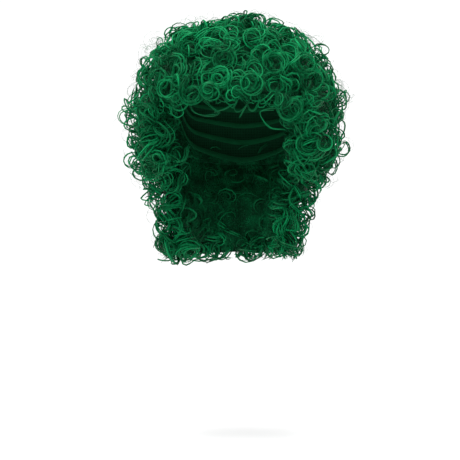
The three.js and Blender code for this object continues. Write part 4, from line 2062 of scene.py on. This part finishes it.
@dataclass
class Cap:
    """The cap that carries the hair: a net wall with sewn rows and a bound rim.

    row_steps are the places of the points across one row, as shares, and row_raised marks those that stand
    out on the inside.
    """

    form: WigForm
    node: str = "cap"
    wall: float = 1.6
    rim_azimuth: Row = (0, 52, 72, 80, 100, 128, 180)
    rim_polar: Row = (63, 72, 112, 112, 95, 122, 129)
    rim_ease: int = 3
    columns: int = 120
    sewn_rows: int = 11
    row_steps: Row = (0.0, 0.3, 0.7, 0.76, 0.94)
    row_raised: Row = (0.0, 0.0, 0.0, 1.0, 1.0)
    row_height: float = 0.9

    def build(self) -> Object:
        """Makes the cap and sets it in the frame; raised bands are sewn, and so is the rim.

        Returns:
            The finished piece.
        """
        azimuth = np.arange(self.columns) * 360.0 / self.columns
        off = np.minimum(azimuth, 360.0 - azimuth)
        rim = np.interp(off, self.rim_azimuth, self.rim_polar)
        rim = np.mean([np.roll(rim, step) for step in range(-self.rim_ease, self.rim_ease + 1)], axis=0)
        count, step = self.sewn_rows * len(self.row_steps), 1.0 / self.sewn_rows
        starts = np.arange(self.sewn_rows) / self.sewn_rows
        share = np.append(starts[:, None] + np.array(self.row_steps) * step, 1.0)
        height = self.row_height * np.array([*(self.row_raised * self.sewn_rows), 1.0])
        a = np.broadcast_to(azimuth, (count + 1, self.columns))
        p = share[:, None] * rim[None, :]
        fit = self.form.cap_reach(a, p)
        inner = self.form.dome_point(a, p, fit + self.row_height - height[:, None])
        outer = self.form.dome_point(a, p, fit + self.wall)
        points = np.concatenate([inner.reshape(-1, 3), outer.reshape(-1, 3)])
        half = (count + 1) * self.columns
        faces, sewn = [], []
        for i in range(self.columns):
            k = (i + 1) % self.columns
            for j in range(count):
                u, d = j * self.columns, (j + 1) * self.columns
                faces.append((u + i, u + k, d + k, d + i))
                faces.append((half + u + i, half + d + i, half + d + k, half + u + k))
                sewn += [int(height[j] + height[j + 1] > 0.0)] * 2
            last = count * self.columns
            faces.append((last + i, last + k, half + last + k, half + last + i))
            sewn.append(1)
        piece = plain_mesh(self.node + "_knit", points, faces, NET.material())
        piece.data.materials.append(SEWN.material())
        self.mark(piece, np.array(sewn), np.array([points[list(face)].mean(0) for face in faces]))
        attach(piece, BODY)
        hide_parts(self.node)
        return piece

    @staticmethod
    def mark(piece: Object, sewn: Array, centres: Array) -> None:
        """Gives the sewn rows their own material, matching faces by their centres.

        Args:
            piece: The cap.
            sewn: For each face as planned, whether it is sewn.
            centres: For each face as planned, its centre in millimetres.
        """
        for face in piece.data.polygons:
            nearest = np.abs(centres - np.array(face.center) / MM).sum(1).argmin()
            face.material_index = int(sewn[nearest])


@dataclass(frozen=True)
class SoftLight:
    """A square light, with its place and side in metres and its power in watts."""

    name: str
    place: Place
    side: float
    power: float

    def build(self, aim: Place) -> None:
        """Sets the light so that it faces a point.

        Args:
            aim: The point.
        """
        lamp = bpy.data.lights.new(self.name, "AREA")
        lamp.size, lamp.energy = self.side, self.power
        made = linked(self.name, lamp)
        made.location = self.place
        made.rotation_euler = (Vector(aim) - Vector(self.place)).to_track_quat("-Z", "Y").to_euler()


@dataclass
class Studio:
    """A pale sweep, soft lights and the camera."""

    target: Place = (-0.005, 0.0, -0.235)
    azimuth: float = 8.0
    elevation: float = 2.5
    distance: float = 2.6
    frame_side: float = 0.584
    sensor_width: float = 36.0
    floor_height: float = -0.51
    sweep_width: float = 8.0
    sweep_front: float = -4.0
    sweep_back: float = 2.2
    sweep_radius: float = 1.2
    sweep_top: float = 4.0
    sweep_steps: int = 13
    paper: Colour = (0.9, 0.9, 0.9)
    paper_roughness: float = 0.9
    lights: tuple[SoftLight, ...] = (
        SoftLight("key_left", (-1.0, -2.2, 1.7), 1.4, 44.0),
        SoftLight("key_right", (1.0, -2.1, 1.6), 1.4, 10.0),
        SoftLight("top", (0.0, -0.5, 2.0), 1.2, 60.0),
    )
    light_aim: Place = (0.0, 0.0, -0.1)
    sky: Colour = (1.0, 1.0, 1.0)
    sky_strength: float = 0.75

    def sweep(self) -> Object:
        """Builds the floor and the backdrop as one curved sheet.

        Returns:
            The sheet, staged.
        """
        profile = [(self.sweep_front, self.floor_height)]
        for bend in np.linspace(0.0, math.pi / 2, self.sweep_steps):
            back = self.sweep_back + self.sweep_radius * math.sin(bend)
            profile.append((back, self.floor_height + self.sweep_radius * (1.0 - math.cos(bend))))
        profile.append((self.sweep_back + self.sweep_radius, self.sweep_top))
        points = [(side * self.sweep_width / 2, y, z) for y, z in profile for side in (-1, 1)]
        faces = [(2 * i, 2 * i + 1, 2 * i + 3, 2 * i + 2) for i in range(len(profile) - 1)]
        mesh = bpy.data.meshes.new("studio_sweep")
        mesh.from_pydata(points, [], faces)
        mesh.shade_smooth()
        look = {"Base Color": (*self.paper, 1.0), "Roughness": self.paper_roughness}
        mesh.materials.append(new_material("studio_paper", look)[0])
        made = linked("studio_sweep", mesh)
        made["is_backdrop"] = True
        return made

    def camera(self) -> Object:
        """Sets the camera at its distance from the target.

        Returns:
            The camera.
        """
        lens = bpy.data.cameras.new("camera")
        lens.sensor_width = self.sensor_width
        lens.lens = lens.sensor_width * self.distance / self.frame_side
        made = linked("camera", lens)
        a, e = math.radians(self.azimuth), math.radians(self.elevation)
        back = Vector((math.sin(a) * math.cos(e), -math.cos(a) * math.cos(e), math.sin(e)))
        made.location = Vector(self.target) + back * self.distance
        made.rotation_euler = (-back).to_track_quat("-Z", "Y").to_euler()
        return made

    def build(self) -> None:
        """Sets the sweep, the lights, the sky and the camera."""
        scene = bpy.context.scene
        self.sweep()
        for light in self.lights:
            light.build(self.light_aim)
        world = bpy.data.worlds.new("studio")
        world.use_nodes = True
        background = world.node_tree.nodes["Background"].inputs
        background["Color"].default_value = (*self.sky, 1.0)
        background["Strength"].default_value = self.sky_strength
        scene.world = world
        scene.view_settings.view_transform = "Standard"
        scene.camera = self.camera()


def sections(form: WigForm) -> list[HairSection]:
    """Lists the hair's sections, from the crown down.

    Args:
        form: The wig's form, which they share.

    Returns:
        The sections, ready to build.
    """
    left, right = FrontEdge(82.0, turn=-1.0), FrontEdge(278.0, turn=1.0)
    return [
        # The crown's lift brightens all its locks: painted light on the top of the hair.
        DomeSection("crown_curls", form, 1, (0.0, 360.0), (0.0, 55.0), lift=0.12, features=FRONT_CURLS),
        FringeSection("fringe_curls", form, 2, (-58.0, 58.0), (55.0, 108.0), features=FRONT_CURLS),
        DomeSection("left_side_curls", form, 3, (58.0, 120.0), (55.0, 130.0), features=FRONT_CURLS),
        DomeSection("right_side_curls", form, 4, (240.0, 302.0), (55.0, 130.0), features=FRONT_CURLS),
        DomeSection("back_curls", form, 5, (120.0, 240.0), (55.0, 130.0)),
        TempleSection("left_temple_curls", form, 6, 58.0, -1.0, (2.0, 10.0), features=LEFT_TEMPLE_CURLS),
        TempleSection("right_temple_curls", form, 7, 302.0, 1.0, (8.0, 19.0), features=RIGHT_TEMPLE_CURLS),
        NapeSection("left_nape_curls", form, 8, (82.0, 146.0), (-256.0, -142.0), edge=left),
        NapeSection("back_nape_curls", form, 9, (146.0, 214.0)),
        NapeSection("right_nape_curls", form, 10, (214.0, 278.0), edge=right, features=NAPE_TUFT),
    ]


def report(piece: Object) -> None:
    """Logs a finished piece."""
    log.info("%s: %d faces", piece.name, len(piece.data.polygons))


def main() -> None:
    """Builds the wig piece by piece around the frame and sets it in the studio."""
    logging.basicConfig(level=logging.INFO, format="%(name)s: %(message)s")
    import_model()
    solid_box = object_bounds()
    low, high = np.array(solid_box) / MM
    form = WigForm((low - PROUD, high + PROUD))
    tree = StrandTree()
    strands, packed = STRANDS.material(), PACKED.material()
    for section in sections(form):
        report(section.build(tree, strands))
    report(PackedHair(form).build(packed))
    report(Cap(form).build())
    Studio().build()


if __name__ == "__main__":
    main()
